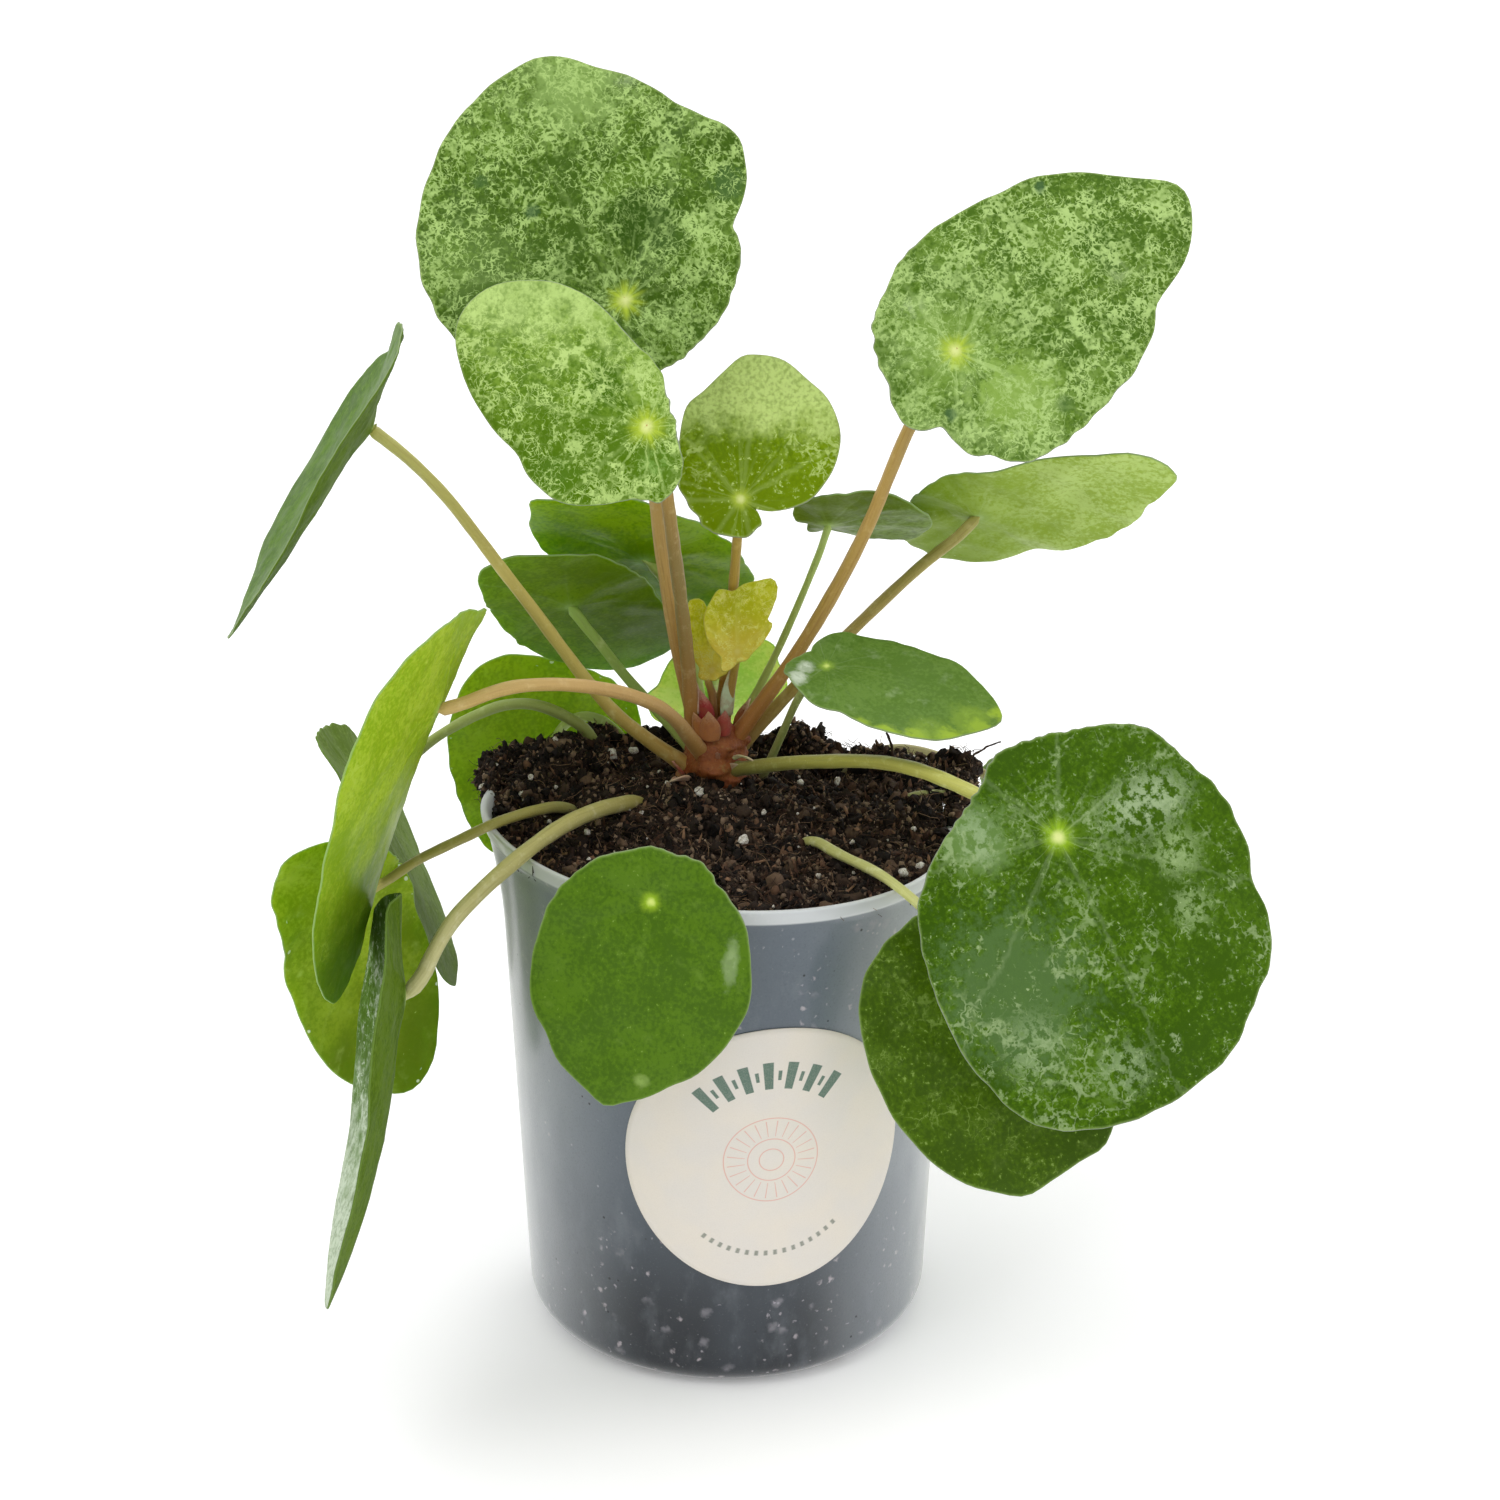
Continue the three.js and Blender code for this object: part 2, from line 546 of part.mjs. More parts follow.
function buildBlade(leaf) {
  const colour = leaf.pale ? COLOURS.paleBlade : COLOURS.blade;
  return new THREE.Mesh(bladeGeometry(leaf), material(colour, 0.5));
}

// A petiole that rises from the soil starts inside it, on the side it leans from.
function buriedFoot([start, next]) {
  const foot = new THREE.Vector3(...start);
  const lean = new THREE.Vector3(next[0] - start[0], next[1] - start[1], 0).normalize();
  foot.addScaledVector(lean, -PETIOLE_SINK / 2);
  return [foot.x, foot.y, foot.z - PETIOLE_SINK];
}

// Slides the foot of a petiole that grows on the crown towards it, up to the fit gap.
function seatOnCrown(leaf, crown) {
  const foot = leaf.route[0];
  const [x, y, z] = foot;
  const target = [CROWN.x, CROWN.y, SEAT_LEVEL];
  let near = 0;
  let far = 1;
  for (let k = 0; k < SEAT_STEPS; k += 1) {
    const share = (near + far) / 2;
    [x, y, z].forEach((value, axis) => {
      foot[axis] = value + share * (target[axis] - value);
    });
    const gap = crown.minGap(toSolid(petioleGeometry(leaf)), 2 * PETIOLE_SINK);
    if (gap > FIT_GAP) near = share;
    else far = share;
  }
}

// The petiole's course: its listed points, then the end just under the blade's dimple.
function petioleCurve(leaf) {
  const { up } = bladeFrame(leaf);
  const route = leaf.route.map((p) => new THREE.Vector3(...p));
  const joint = new THREE.Vector3(...leaf.joint);
  const arrival = joint.clone().sub(route.at(-1)).normalize();
  const slant = Math.sqrt(Math.max(0, 1 - arrival.dot(up) ** 2));
  const under = BLADE_DIMPLE.depth + BLADE_THICKNESS / 2 + FIT_GAP + leaf.stem[1] * (slant + 0.15);
  route.push(joint.addScaledVector(up, -under));
  return new THREE.CatmullRomCurve3(route, false, 'centripetal');
}

// A tapered tube with closed ends, wider by `grow` all round.
function petioleGeometry(leaf, grow = 0) {
  const curve = petioleCurve(leaf);
  const { tangents, normals, binormals } = curve.computeFrenetFrames(PETIOLE_STEPS, false);
  const [foot, top] = leaf.stem;
  const start = curve.getPointAt(0).addScaledVector(tangents[0], -grow);
  const end = curve.getPointAt(1).addScaledVector(tangents[PETIOLE_STEPS], grow);
  const points = start.toArray();
  for (let step = 0; step <= PETIOLE_STEPS; step += 1) {
    const share = step / PETIOLE_STEPS;
    const centre = curve.getPointAt(share);
    if (step === 0) centre.copy(start);
    if (step === PETIOLE_STEPS) centre.copy(end);
    const radius = foot + (top - foot) * Math.sqrt(share) + grow;
    for (let k = 0; k < PETIOLE_SIDES; k += 1) {
      const a = (-2 * Math.PI * k) / PETIOLE_SIDES;
      const p = centre.clone().addScaledVector(normals[step], radius * Math.cos(a));
      points.push(...p.addScaledVector(binormals[step], radius * Math.sin(a)).toArray());
    }
  }
  points.push(...end.toArray());
  return indexedGeometry(points, closedLoops(PETIOLE_STEPS + 1, PETIOLE_SIDES));
}

function buildPetiole(leaf) {
  return new THREE.Mesh(petioleGeometry(leaf), material(COLOURS.petiole, 0.55));
}

// ---- the whole plant ---------------------------------------------------------------------

function buildPlant() {
  const plant = new THREE.Group();
  const put = (name, mesh) => {
    mesh.name = name;
    plant.add(mesh);
  };
  const crown = crownSolid(0);
  let soil = settle(buildSoilBody()).subtract(crownSolid(FIT_GAP));
  put('pot', buildPot());
  put('label', buildLabel());
  put('crown', new THREE.Mesh(toGeometry(crown), material(COLOURS.crown, 0.7)));
  for (const [name, leaf] of Object.entries(LEAVES)) {
    const [x, y] = leaf.route[0];
    const fromSoil = Math.hypot(x - CROWN.x, y - CROWN.y) > CROWN_REACH;
    if (fromSoil) leaf.route.unshift(buriedFoot(leaf.route));
    else seatOnCrown(leaf, crown);
    put(`blade_${name}`, buildBlade(leaf));
    put(`petiole_${name}`, buildPetiole(leaf));
    soil = soil.subtract(toSolid(petioleGeometry(leaf, FIT_GAP)));
  }
  put('soil', new THREE.Mesh(toGeometry(soil), material(COLOURS.soil, 0.95)));
  return plant;
}

export default buildPlant();
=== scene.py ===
"""Dresses a potted pilea: nursery pot, paper label, peat, woody crown and 23 round leaves."""
import logging
import math
from dataclasses import dataclass, replace
from enum import Enum
from functools import reduce

import bpy
import numpy as np
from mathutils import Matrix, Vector, noise
from mathutils.bvhtree import BVHTree


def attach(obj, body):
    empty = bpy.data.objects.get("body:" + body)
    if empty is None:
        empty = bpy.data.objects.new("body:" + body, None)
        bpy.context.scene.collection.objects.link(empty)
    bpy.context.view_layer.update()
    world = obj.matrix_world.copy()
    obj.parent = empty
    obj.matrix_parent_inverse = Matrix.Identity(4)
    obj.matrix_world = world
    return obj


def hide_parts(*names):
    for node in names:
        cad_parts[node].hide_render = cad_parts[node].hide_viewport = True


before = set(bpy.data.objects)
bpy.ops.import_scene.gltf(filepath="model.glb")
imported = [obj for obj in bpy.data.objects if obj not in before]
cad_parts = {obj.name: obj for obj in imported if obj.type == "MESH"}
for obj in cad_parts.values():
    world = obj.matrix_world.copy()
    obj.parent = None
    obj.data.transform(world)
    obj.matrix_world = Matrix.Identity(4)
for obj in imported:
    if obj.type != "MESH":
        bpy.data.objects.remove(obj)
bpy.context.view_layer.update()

MM = 0.001                 # metres in a millimetre; sizes below are in millimetres
BODY = "root"
LOG = logging.getLogger("pilea")
WHITE = (1.0, 1.0, 1.0, 1.0)
FULL_TURN = 6.28           # nearly a full turn, as the copies' random turns use it
GROOVE_SHARPNESS = 6.0     # how narrow the groove of a stalk is
Socket = bpy.types.NodeSocket


# ---- small helpers ------------------------------------------------------------

def ink(code: str) -> tuple[float, float, float, float]:
    """Turns a colour code into linear red, green, blue and alpha.

    Args:
        code: six hexadecimal digits, as in 5E9A2E.

    Returns:
        The colour as a material socket takes it.
    """
    parts = [int(code[i:i + 2], 16) / 255 for i in (0, 2, 4)]
    linear = [c / 12.92 if c <= 0.04045 else ((c + 0.055) / 1.055) ** 2.4 for c in parts]
    return (linear[0], linear[1], linear[2], 1.0)


def unit(vectors: np.ndarray) -> np.ndarray:
    """Gives each vector in the last axis a length of one."""
    return vectors / np.maximum(np.linalg.norm(vectors, axis=-1, keepdims=True), 1e-9)


def swell(points: np.ndarray, seed: int, size: float, waves: int = 9) -> np.ndarray:
    """Sums seeded waves into a smooth, uneven surface.

    Args:
        points: where to read it, one point per row.
        seed: seed of the waves.
        size: the usual distance between two crests, in the points' own unit.
        waves: how many waves are summed.

    Returns:
        One height per point, mostly between -1 and 1.
    """
    draw = np.random.default_rng(seed)
    ways = unit(draw.normal(size=(waves, points.shape[1])))
    ways *= (2 * math.pi / size) * draw.uniform(0.6, 1.5, size=(waves, 1))
    phases = draw.uniform(0, 2 * math.pi, waves)
    return np.sin(points @ ways.T + phases).sum(axis=1) / math.sqrt(waves)


def closed_curve(values: np.ndarray, count: int) -> np.ndarray:
    """Reads values given at even turns at more turns, along a smooth closed curve.

    Args:
        values: one row of values per turn.
        count: how many even turns to read.

    Returns:
        One row per new turn.
    """
    n = len(values)
    at = np.arange(count) * n / count
    k = np.floor(at).astype(int)
    f = (at - k).reshape(-1, *([1] * (values.ndim - 1)))
    p0, p1, p2, p3 = (values[(k + step) % n] for step in (-1, 0, 1, 2))
    square = 2 * p0 - 5 * p1 + 4 * p2 - p3
    cube = 3 * p1 - p0 - 3 * p2 + p3
    return 0.5 * (2 * p1 + (p2 - p0) * f + square * f ** 2 + cube * f ** 3)


def open_curve(values: np.ndarray, count: int) -> np.ndarray:
    """Reads a smooth open curve through rows of values at even shares of its length.

    Args:
        values: the rows that the curve passes through.
        count: how many rows to read.

    Returns:
        The new rows, from the first value to the last.
    """
    padded = np.vstack([2 * values[0] - values[1], values, 2 * values[-1] - values[-2]])
    at = np.linspace(0, len(values) - 1, count)
    k = np.minimum(np.floor(at).astype(int), len(values) - 2)
    f = (at - k).reshape(-1, 1)
    p0, p1, p2, p3 = (padded[k + step] for step in (0, 1, 2, 3))
    square = 2 * p0 - 5 * p1 + 4 * p2 - p3
    cube = 3 * p1 - p0 - 3 * p2 + p3
    return 0.5 * (2 * p1 + (p2 - p0) * f + square * f ** 2 + cube * f ** 3)


def even_turns(count: int) -> np.ndarray:
    """Gives even turns of a circle, in radians."""
    return np.arange(count) * 2 * math.pi / count


def off_turn(turns: np.ndarray, turn: float) -> np.ndarray:
    """Gives how many degrees, from -180 to 180, turns in radians lie past a turn in degrees."""
    return (np.degrees(turns) - turn + 180) % 360 - 180


def circle(turns: np.ndarray, reach: float | np.ndarray, z: float) -> np.ndarray:
    """Gives one level loop of points, at a reach for each turn."""
    return np.stack([reach * np.cos(turns), reach * np.sin(turns), np.full(len(turns), z)], axis=1)


def welded(node: str) -> tuple[np.ndarray, np.ndarray]:
    """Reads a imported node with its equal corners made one.

    Args:
        node: the node's name.

    Returns:
        The points in millimetres, and the triangles as rows of three point numbers.
    """
    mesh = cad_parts[node].data
    points = np.empty(len(mesh.vertices) * 3)
    mesh.vertices.foreach_get("co", points)
    mesh.calc_loop_triangles()
    corners = np.empty(len(mesh.loop_triangles) * 3, int)
    mesh.loop_triangles.foreach_get("vertices", corners)
    kept, index = np.unique(np.round(points.reshape(-1, 3), 7), axis=0, return_inverse=True)
    return kept / MM, index.ravel()[corners].reshape(-1, 3)


def neighbours(triangles: np.ndarray) -> dict[int, set[int]]:
    """Lists the points that share an edge with each point."""
    near: dict[int, set[int]] = {}
    for corners in triangles.tolist():
        for i in corners:
            near.setdefault(i, set()).update(c for c in corners if c != i)
    return near


def surface_of(node: str) -> BVHTree:
    """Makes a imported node's surface ready for rays, in millimetres."""
    points, triangles = welded(node)
    return BVHTree.FromPolygons(points.tolist(), triangles.tolist())


def shell_faces(loops: int, sectors: int) -> list[tuple[int, ...]]:
    """Lists the faces of a closed shell of loops between two poles.

    Args:
        loops: how many loops lie between the poles.
        sectors: how many points each loop has.

    Returns:
        Faces that point outwards where the loops run anticlockwise, seen from outside the
        first pole. Point 0 is that pole, then come the loops, and the last point is the
        other pole.
    """
    faces: list[tuple[int, ...]] = []
    last = 1 + loops * sectors
    for s in range(sectors):
        t = (s + 1) % sectors
        faces.append((0, 1 + s, 1 + t))
        for k in range(loops - 1):
            a = 1 + k * sectors
            faces.append((a + s, a + sectors + s, a + sectors + t, a + t))
        a = last - sectors
        faces.append((last, a + t, a + s))
    return faces


def linked(name: str, data: bpy.types.ID) -> bpy.types.Object:
    """Makes an object of some data and puts it in the scene."""
    thing = bpy.data.objects.new(name, data)
    bpy.context.scene.collection.objects.link(thing)
    return thing


def make_piece(name: str, points: np.ndarray, faces: list[tuple[int, ...]],
               materials: list[bpy.types.Material], slots: list[int] | None = None,
               measures: dict[str, np.ndarray] | None = None) -> bpy.types.Object:
    """Makes a mesh object at the origin from points in millimetres.

    Args:
        name: the piece's name.
        points: one point per row.
        faces: rows of point numbers.
        materials: the piece's materials.
        slots: which material each face has; the first one where it is left out.
        measures: numbers or vectors kept on each point, for its materials.

    Returns:
        The new object, with smooth shading.
    """
    mesh = bpy.data.meshes.new(name)
    mesh.from_pydata((np.asarray(points) * MM).tolist(), [], faces)
    for material in materials:
        mesh.materials.append(material)
    if slots is not None:
        mesh.polygons.foreach_set("material_index", slots)
    mesh.polygons.foreach_set("use_smooth", [True] * len(mesh.polygons))
    for key, values in (measures or {}).items():
        kind, part = ("FLOAT_VECTOR", "vector") if values.ndim == 2 else ("FLOAT", "value")
        layer = mesh.attributes.new(key, kind, "POINT")
        layer.data.foreach_set(part, values.astype(np.float32).ravel())
    mesh.update()
    return linked(name, mesh)


def settle_in(piece: bpy.types.Object, slot: str, *nodes: str) -> None:
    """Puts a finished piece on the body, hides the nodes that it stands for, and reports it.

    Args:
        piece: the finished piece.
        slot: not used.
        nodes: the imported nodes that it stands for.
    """
    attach(piece, BODY)
    if nodes:
        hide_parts(*nodes)
    LOG.info("%s: %d faces", piece.name, len(piece.data.polygons))


# ---- node trees ---------------------------------------------------------------

class Wiring:
    """Adds nodes to a node tree and joins their sockets."""

    def __init__(self, tree: bpy.types.NodeTree) -> None:
        """Takes the tree that the nodes go in."""
        self.tree = tree

    def add(self, kind: str, values: dict | None = None, **settings: object) -> bpy.types.Node:
        """Adds a node.

        Args:
            kind: the node's type name.
            values: what its inputs get, by index or name: a socket, or a plain value.
            settings: the node's own settings.

        Returns:
            The new node.
        """
        node = self.tree.nodes.new(kind)
        for key, value in settings.items():
            setattr(node, key, value)
        for key, value in (values or {}).items():
            self.feed(node.inputs[key], value)
        return node

    def feed(self, socket: Socket, value: object) -> None:
        """Gives an input another node's socket, or a plain value."""
        if isinstance(value, Socket):
            self.tree.links.new(value, socket)
        else:
            socket.default_value = value

    def math(self, operation: str, *values: object) -> Socket:
        """Works out one number from others."""
        return self.add("ShaderNodeMath", dict(enumerate(values)), operation=operation).outputs[0]

    def times(self, *values: object) -> Socket:
        """Multiplies numbers."""
        return reduce(lambda a, b: self.math("MULTIPLY", a, b), values)

    def plus(self, *values: object) -> Socket:
        """Adds numbers."""
        return reduce(lambda a, b: self.math("ADD", a, b), values)

    def most(self, *values: object) -> Socket:
        """Gives the largest of some numbers."""
        return reduce(lambda a, b: self.math("MAXIMUM", a, b), values)

    def less(self, value: object, by: object) -> Socket:
        """Takes one number from another."""
        return self.math("SUBTRACT", value, by)

    def mad(self, value: object, by: object, more: object) -> Socket:
        """Multiplies two numbers and adds a third."""
        return self.math("MULTIPLY_ADD", value, by, more)

    def nudge(self, value: object, noise: object, reach: float) -> Socket:
        """Moves a number to either side by noise that runs from 0 to 1."""
        return self.mad(self.less(noise, 0.5), reach, value)

    def shift(self, vector: object, by: object, operation: str = "ADD") -> Socket:
        """Works out one vector from two."""
        return self.add("ShaderNodeVectorMath", {0: vector, 1: by},
                        operation=operation).outputs[0]

    def stretch(self, vector: object, by: object) -> Socket:
        """Multiplies a vector by a number."""
        return self.add("ShaderNodeVectorMath", {0: vector, "Scale": by},
                        operation="SCALE").outputs[0]

    def along(self, vector: object, way: tuple[float, float, float]) -> Socket:
        """Gives how far a vector reaches along a direction."""
        return self.add("ShaderNodeVectorMath", {0: vector, 1: way},
                        operation="DOT_PRODUCT").outputs["Value"]

    def parts(self, vector: object) -> tuple[Socket, ...]:
        """Splits a vector into its three numbers."""
        return tuple(self.add("ShaderNodeSeparateXYZ", {0: vector}).outputs)

    def join(self, x: object, y: object, z: object) -> Socket:
        """Makes a vector of three numbers."""
        return self.add("ShaderNodeCombineXYZ", {0: x, 1: y, 2: z}).outputs[0]

    def ease(self, value: object, low: object, high: object, start: float = 0.0,
             end: float = 1.0) -> Socket:
        """Turns a range of a number softly into another.

        Args:
            value: the number.
            low: where the range starts; it may lie above its end.
            high: where the range ends.
            start: what the number becomes at low.
            end: what the number becomes at high.

        Returns:
            The eased number.
        """
        return self.add("ShaderNodeMapRange", {0: value, 1: low, 2: high, 3: start, 4: end},
                        interpolation_type="SMOOTHSTEP").outputs[0]


class Paint(Wiring):
    """One procedural material, built up in coats of colour."""

    def __init__(self, name: str, **sockets: object) -> None:
        """Starts a material.

        Args:
            name: the material's name.
            sockets: plain values of the shader's own sockets, with _ for a space.
        """
        self.material = bpy.data.materials.new(name)
        self.material.use_nodes = True
        super().__init__(self.material.node_tree)
        self.tree.nodes.clear()
        self.shader = self.add("ShaderNodeBsdfPrincipled")
        for key, value in sockets.items():
            self.shader.inputs[key.replace("_", " ")].default_value = value
        self.add("ShaderNodeOutputMaterial", {0: self.shader.outputs[0]})
        self.colour: object = WHITE

    def place(self) -> Socket:
        """Gives the point on the object, in millimetres."""
        return self.stretch(self.add("ShaderNodeTexCoord").outputs["Object"], 1 / MM)

    def measure(self, key: str, vector: bool = False) -> Socket:
        """Reads a number or a vector that is kept on the piece's points."""
        node = self.add("ShaderNodeAttribute", attribute_name=key)
        return node.outputs["Vector" if vector else "Fac"]

    def noise(self, at: object, size: float, detail: float, rough: float) -> bpy.types.Node:
        """Adds soft uneven noise of a size, with finer layers of a number and strength."""
        return self.add("ShaderNodeTexNoise", {
            "Vector": at, "Scale": 1 / size, "Detail": detail, "Roughness": rough})

    def cloud(self, at: object, size: float, detail: float = 2.0, rough: float = 0.5) -> Socket:
        """Gives noise as a number from 0 to 1."""
        return self.noise(at, size, detail, rough).outputs["Fac"]

    def drift(self, at: object, size: float, detail: float = 2.0) -> Socket:
        """Gives noise as a vector of three numbers from 0 to 1."""
        return self.noise(at, size, detail, 0.5).outputs["Color"]

    def cells(self, at: object, size: float, feature: str = "F1") -> Socket:
        """Gives the distance to the middle of a cell, or to its edge."""
        return self.add("ShaderNodeTexVoronoi", {"Vector": at, "Scale": 1 / size},
                        feature=feature).outputs["Distance"]

    def ground(self, under: str, over: str, share: object) -> None:
        """Starts the colour with one code, and with a second by a share."""
        self.colour = ink(under)
        self.cover(over, share)

    def cover(self, code: str, share: object) -> None:
        """Lays a colour over the others by a share from 0 to 1."""
        self.colour = self.add("ShaderNodeMix", {0: share, 6: self.colour, 7: ink(code)},
                               data_type="RGBA", blend_type="MIX").outputs[2]

    def coat(self, code: str, value: object, low: object, high: object,
             most: float = 1.0) -> None:
        """Lays a colour over the others where a number is high.

        Args:
            code: the colour.
            value: the number.
            low: where the colour starts to show; it may lie above high.
            high: where it shows most.
            most: its share there.
        """
        self.cover(code, self.ease(value, low, high, 0.0, most))

    def finish(self, rough: object, height: object | None = None,
               depth: float = 0.1) -> bpy.types.Material:
        """Joins the colour, the roughness and the relief to the shader.

        Args:
            rough: the roughness.
            height: a height from 0 to 1 that the light shows, or None.
            depth: what a height of 1 stands for, in millimetres.

        Returns:
            The finished material.
        """
        self.feed(self.shader.inputs["Base Color"], self.colour)
        self.feed(self.shader.inputs["Roughness"], rough)
        if height is not None:
            bump = self.add("ShaderNodeBump", {
                "Height": height, "Distance": depth * MM, "Strength": 1.0})
            self.feed(self.shader.inputs["Normal"], bump.outputs[0])
        return self.material


class Recipe(Wiring):
    """A geometry node tree with named sizes, used on one base object at a time."""

    def __init__(self, name: str, **sizes: tuple[str, object]) -> None:
        """Starts a tree.

        Args:
            name: the tree's name.
            sizes: its inputs, each as a socket kind and a first value.
        """
        super().__init__(bpy.data.node_groups.new(name, "GeometryNodeTree"))
        self.tree.is_modifier = True
        face = self.tree.interface
        face.new_socket("Geometry", in_out="OUTPUT", socket_type="NodeSocketGeometry")
        face.new_socket("Geometry", in_out="INPUT", socket_type="NodeSocketGeometry")
        self.keys: dict[str, str] = {}
        for key, (kind, value) in {**sizes, "Material": ("Material", None)}.items():
            socket = face.new_socket(key, in_out="INPUT", socket_type=f"NodeSocket{kind}")
            if value is not None:
                socket.default_value = value
            self.keys[key] = socket.identifier
        self.start = self.add("NodeGroupInput")

    def size(self, key: str) -> Socket:
        """Gives the socket of a named input."""
        return self.start.outputs[key]

    def shape(self, kind: str, values: dict, **settings: object) -> Socket:
        """Adds a node, and gives its first output."""
        return self.add(kind, values, **settings).outputs[0]

    def keep(self, shape: Socket, key: str, value: Socket, domain: str = "POINT") -> Socket:
        """Keeps a number on each point or copy of a shape."""
        return self.shape("GeometryNodeStoreNamedAttribute", {
            "Geometry": shape, "Name": key, "Value": value}, data_type="FLOAT", domain=domain)

    def draw(self, low: object, high: object, seed: int) -> Socket:
        """Draws a vector between two for each copy."""
        return self.shape("FunctionNodeRandomValue", {0: low, 1: high, "Seed": seed},
                          data_type="FLOAT_VECTOR")

    def strew(self, shape: Socket, turn: Socket, size: Socket) -> Socket:
        """Strews real copies of a shape over the bed, each with the measure tone.

        Args:
            shape: what is strewn.
            turn: how each copy is turned.
            size: how each copy is sized.

        Returns:
            The copies.
        """
        bed = self.shape("GeometryNodeInputNamedAttribute", {0: "bed"}, data_type="FLOAT")
        spots = self.shape("GeometryNodeDistributePointsOnFaces", {
            "Mesh": self.size("Geometry"), "Density": self.times(bed, self.size("Density")),
            "Seed": self.size("Seed")})
        laid = self.shape("GeometryNodeInstanceOnPoints", {
            "Points": spots, "Instance": shape, "Rotation": turn, "Scale": size})
        tone = self.add("FunctionNodeRandomValue", {"Seed": 7}, data_type="FLOAT").outputs[1]
        laid = self.keep(laid, "tone", tone, "INSTANCE")
        return self.shape("GeometryNodeRealizeInstances", {0: laid})

    def jolt(self, shape: Socket, scale: float, detail: float,
             middle: tuple[float, float, float], reach: str) -> Socket:
        """Moves the points of a shape by noise.

        Args:
            shape: the shape.
            scale: how many blotches of noise lie on a metre.
            detail: how many finer layers the noise has.
            middle: the noise at which a point stays where it is.
            reach: the named input that says how far they move.

        Returns:
            The uneven shape.
        """
        blotches = self.add("ShaderNodeTexNoise", {"Scale": scale, "Detail": detail})
        push = self.shift(blotches.outputs["Color"], middle, "SUBTRACT")
        return self.shape("GeometryNodeSetPosition", {
            "Geometry": shape, "Offset": self.stretch(push, self.size(reach))})

    def close(self, shape: Socket) -> None:
        """Ends the tree: instances made real, smooth shading, and the material."""
        real = self.shape("GeometryNodeRealizeInstances", {0: shape})
        dressed = self.shape("GeometryNodeSetMaterial", {
            "Geometry": self.shape("GeometryNodeSetShadeSmooth", {0: real}),
            "Material": self.size("Material")})
        self.add("NodeGroupOutput", {0: dressed})

    def make(self, name: str, base: bpy.types.Object, **sizes: object) -> bpy.types.Object:
        """Runs the tree on a base object and keeps the result as a plain mesh.

        Args:
            name: the new piece's name.
            base: the object that the tree reads; it is removed afterwards.
            sizes: values of the named inputs.

        Returns:
            The new piece, at the origin.
        """
        modifier = base.modifiers.new(name, "NODES")
        modifier.node_group = self.tree
        for key, value in sizes.items():
            modifier[self.keys[key]] = value
        graph = bpy.context.evaluated_depsgraph_get()
        mesh = bpy.data.meshes.new_from_object(
            base.evaluated_get(graph), preserve_all_data_layers=True, depsgraph=graph)
        base.modifiers.remove(modifier)
        bpy.data.objects.remove(base)
        mesh.name = name
        return linked(name, mesh)


def stalk_recipe() -> Recipe:
    """Makes the tree that runs a grooved round section along a line of points.

    Returns:
        The tree. It reads the point measure girth, and leaves along and turn.
    """
    r = Recipe("stalk", Sides=("Int", 14), Groove=("Float", 0.1))
    line = r.shape("GeometryNodeMeshToCurve", {0: r.size("Geometry")})
    girth = r.shape("GeometryNodeInputNamedAttribute", {0: "girth"}, data_type="FLOAT")
    share = r.add("GeometryNodeSplineParameter").outputs["Factor"]
    line = r.keep(line, "along", share)
    ring = r.shape("GeometryNodeCurvePrimitiveCircle", {
        "Resolution": r.size("Sides"), "Radius": 1.0})
    spot = r.add("GeometryNodeInputPosition").outputs[0]
    peak = r.math("POWER", r.most(r.parts(spot)[1], 0.0), GROOVE_SHARPNESS)
    moved = r.stretch(spot, r.less(1.0, r.times(peak, r.size("Groove"))))
    ring = r.shape("GeometryNodeSetPosition", {"Geometry": ring, "Position": moved})
    ring = r.keep(ring, "turn", r.add("GeometryNodeSplineParameter").outputs["Factor"])
    r.close(r.shape("GeometryNodeCurveToMesh", {
        "Curve": line, "Profile Curve": ring, "Scale": girth, "Fill Caps": True}))
    return r


def crumb_recipe() -> Recipe:
    """Makes the tree that strews lumpy crumbs over a surface.

    Returns:
        The tree. It reads the point measure bed, and leaves tone.
    """
    r = Recipe("crumbs", Density=("Float", 1.0), Seed=("Int", 1), Detail=("Int", 1),
               Smallest=("Vector", (0.0, 0.0, 0.0)), Largest=("Vector", (0.0, 0.0, 0.0)),
               Roughness=("Float", 0.0))
    ball = r.shape("GeometryNodeMeshIcoSphere", {
        "Radius": 1.0, "Subdivisions": r.size("Detail")})
    real = r.strew(ball, r.draw((0.0, 0.0, 0.0), (FULL_TURN,) * 3, 5),
                   r.draw(r.size("Smallest"), r.size("Largest"), 6))
    r.close(r.jolt(real, 900.0, 2.0, (0.5, 0.5, 0.5), "Roughness"))
    return r


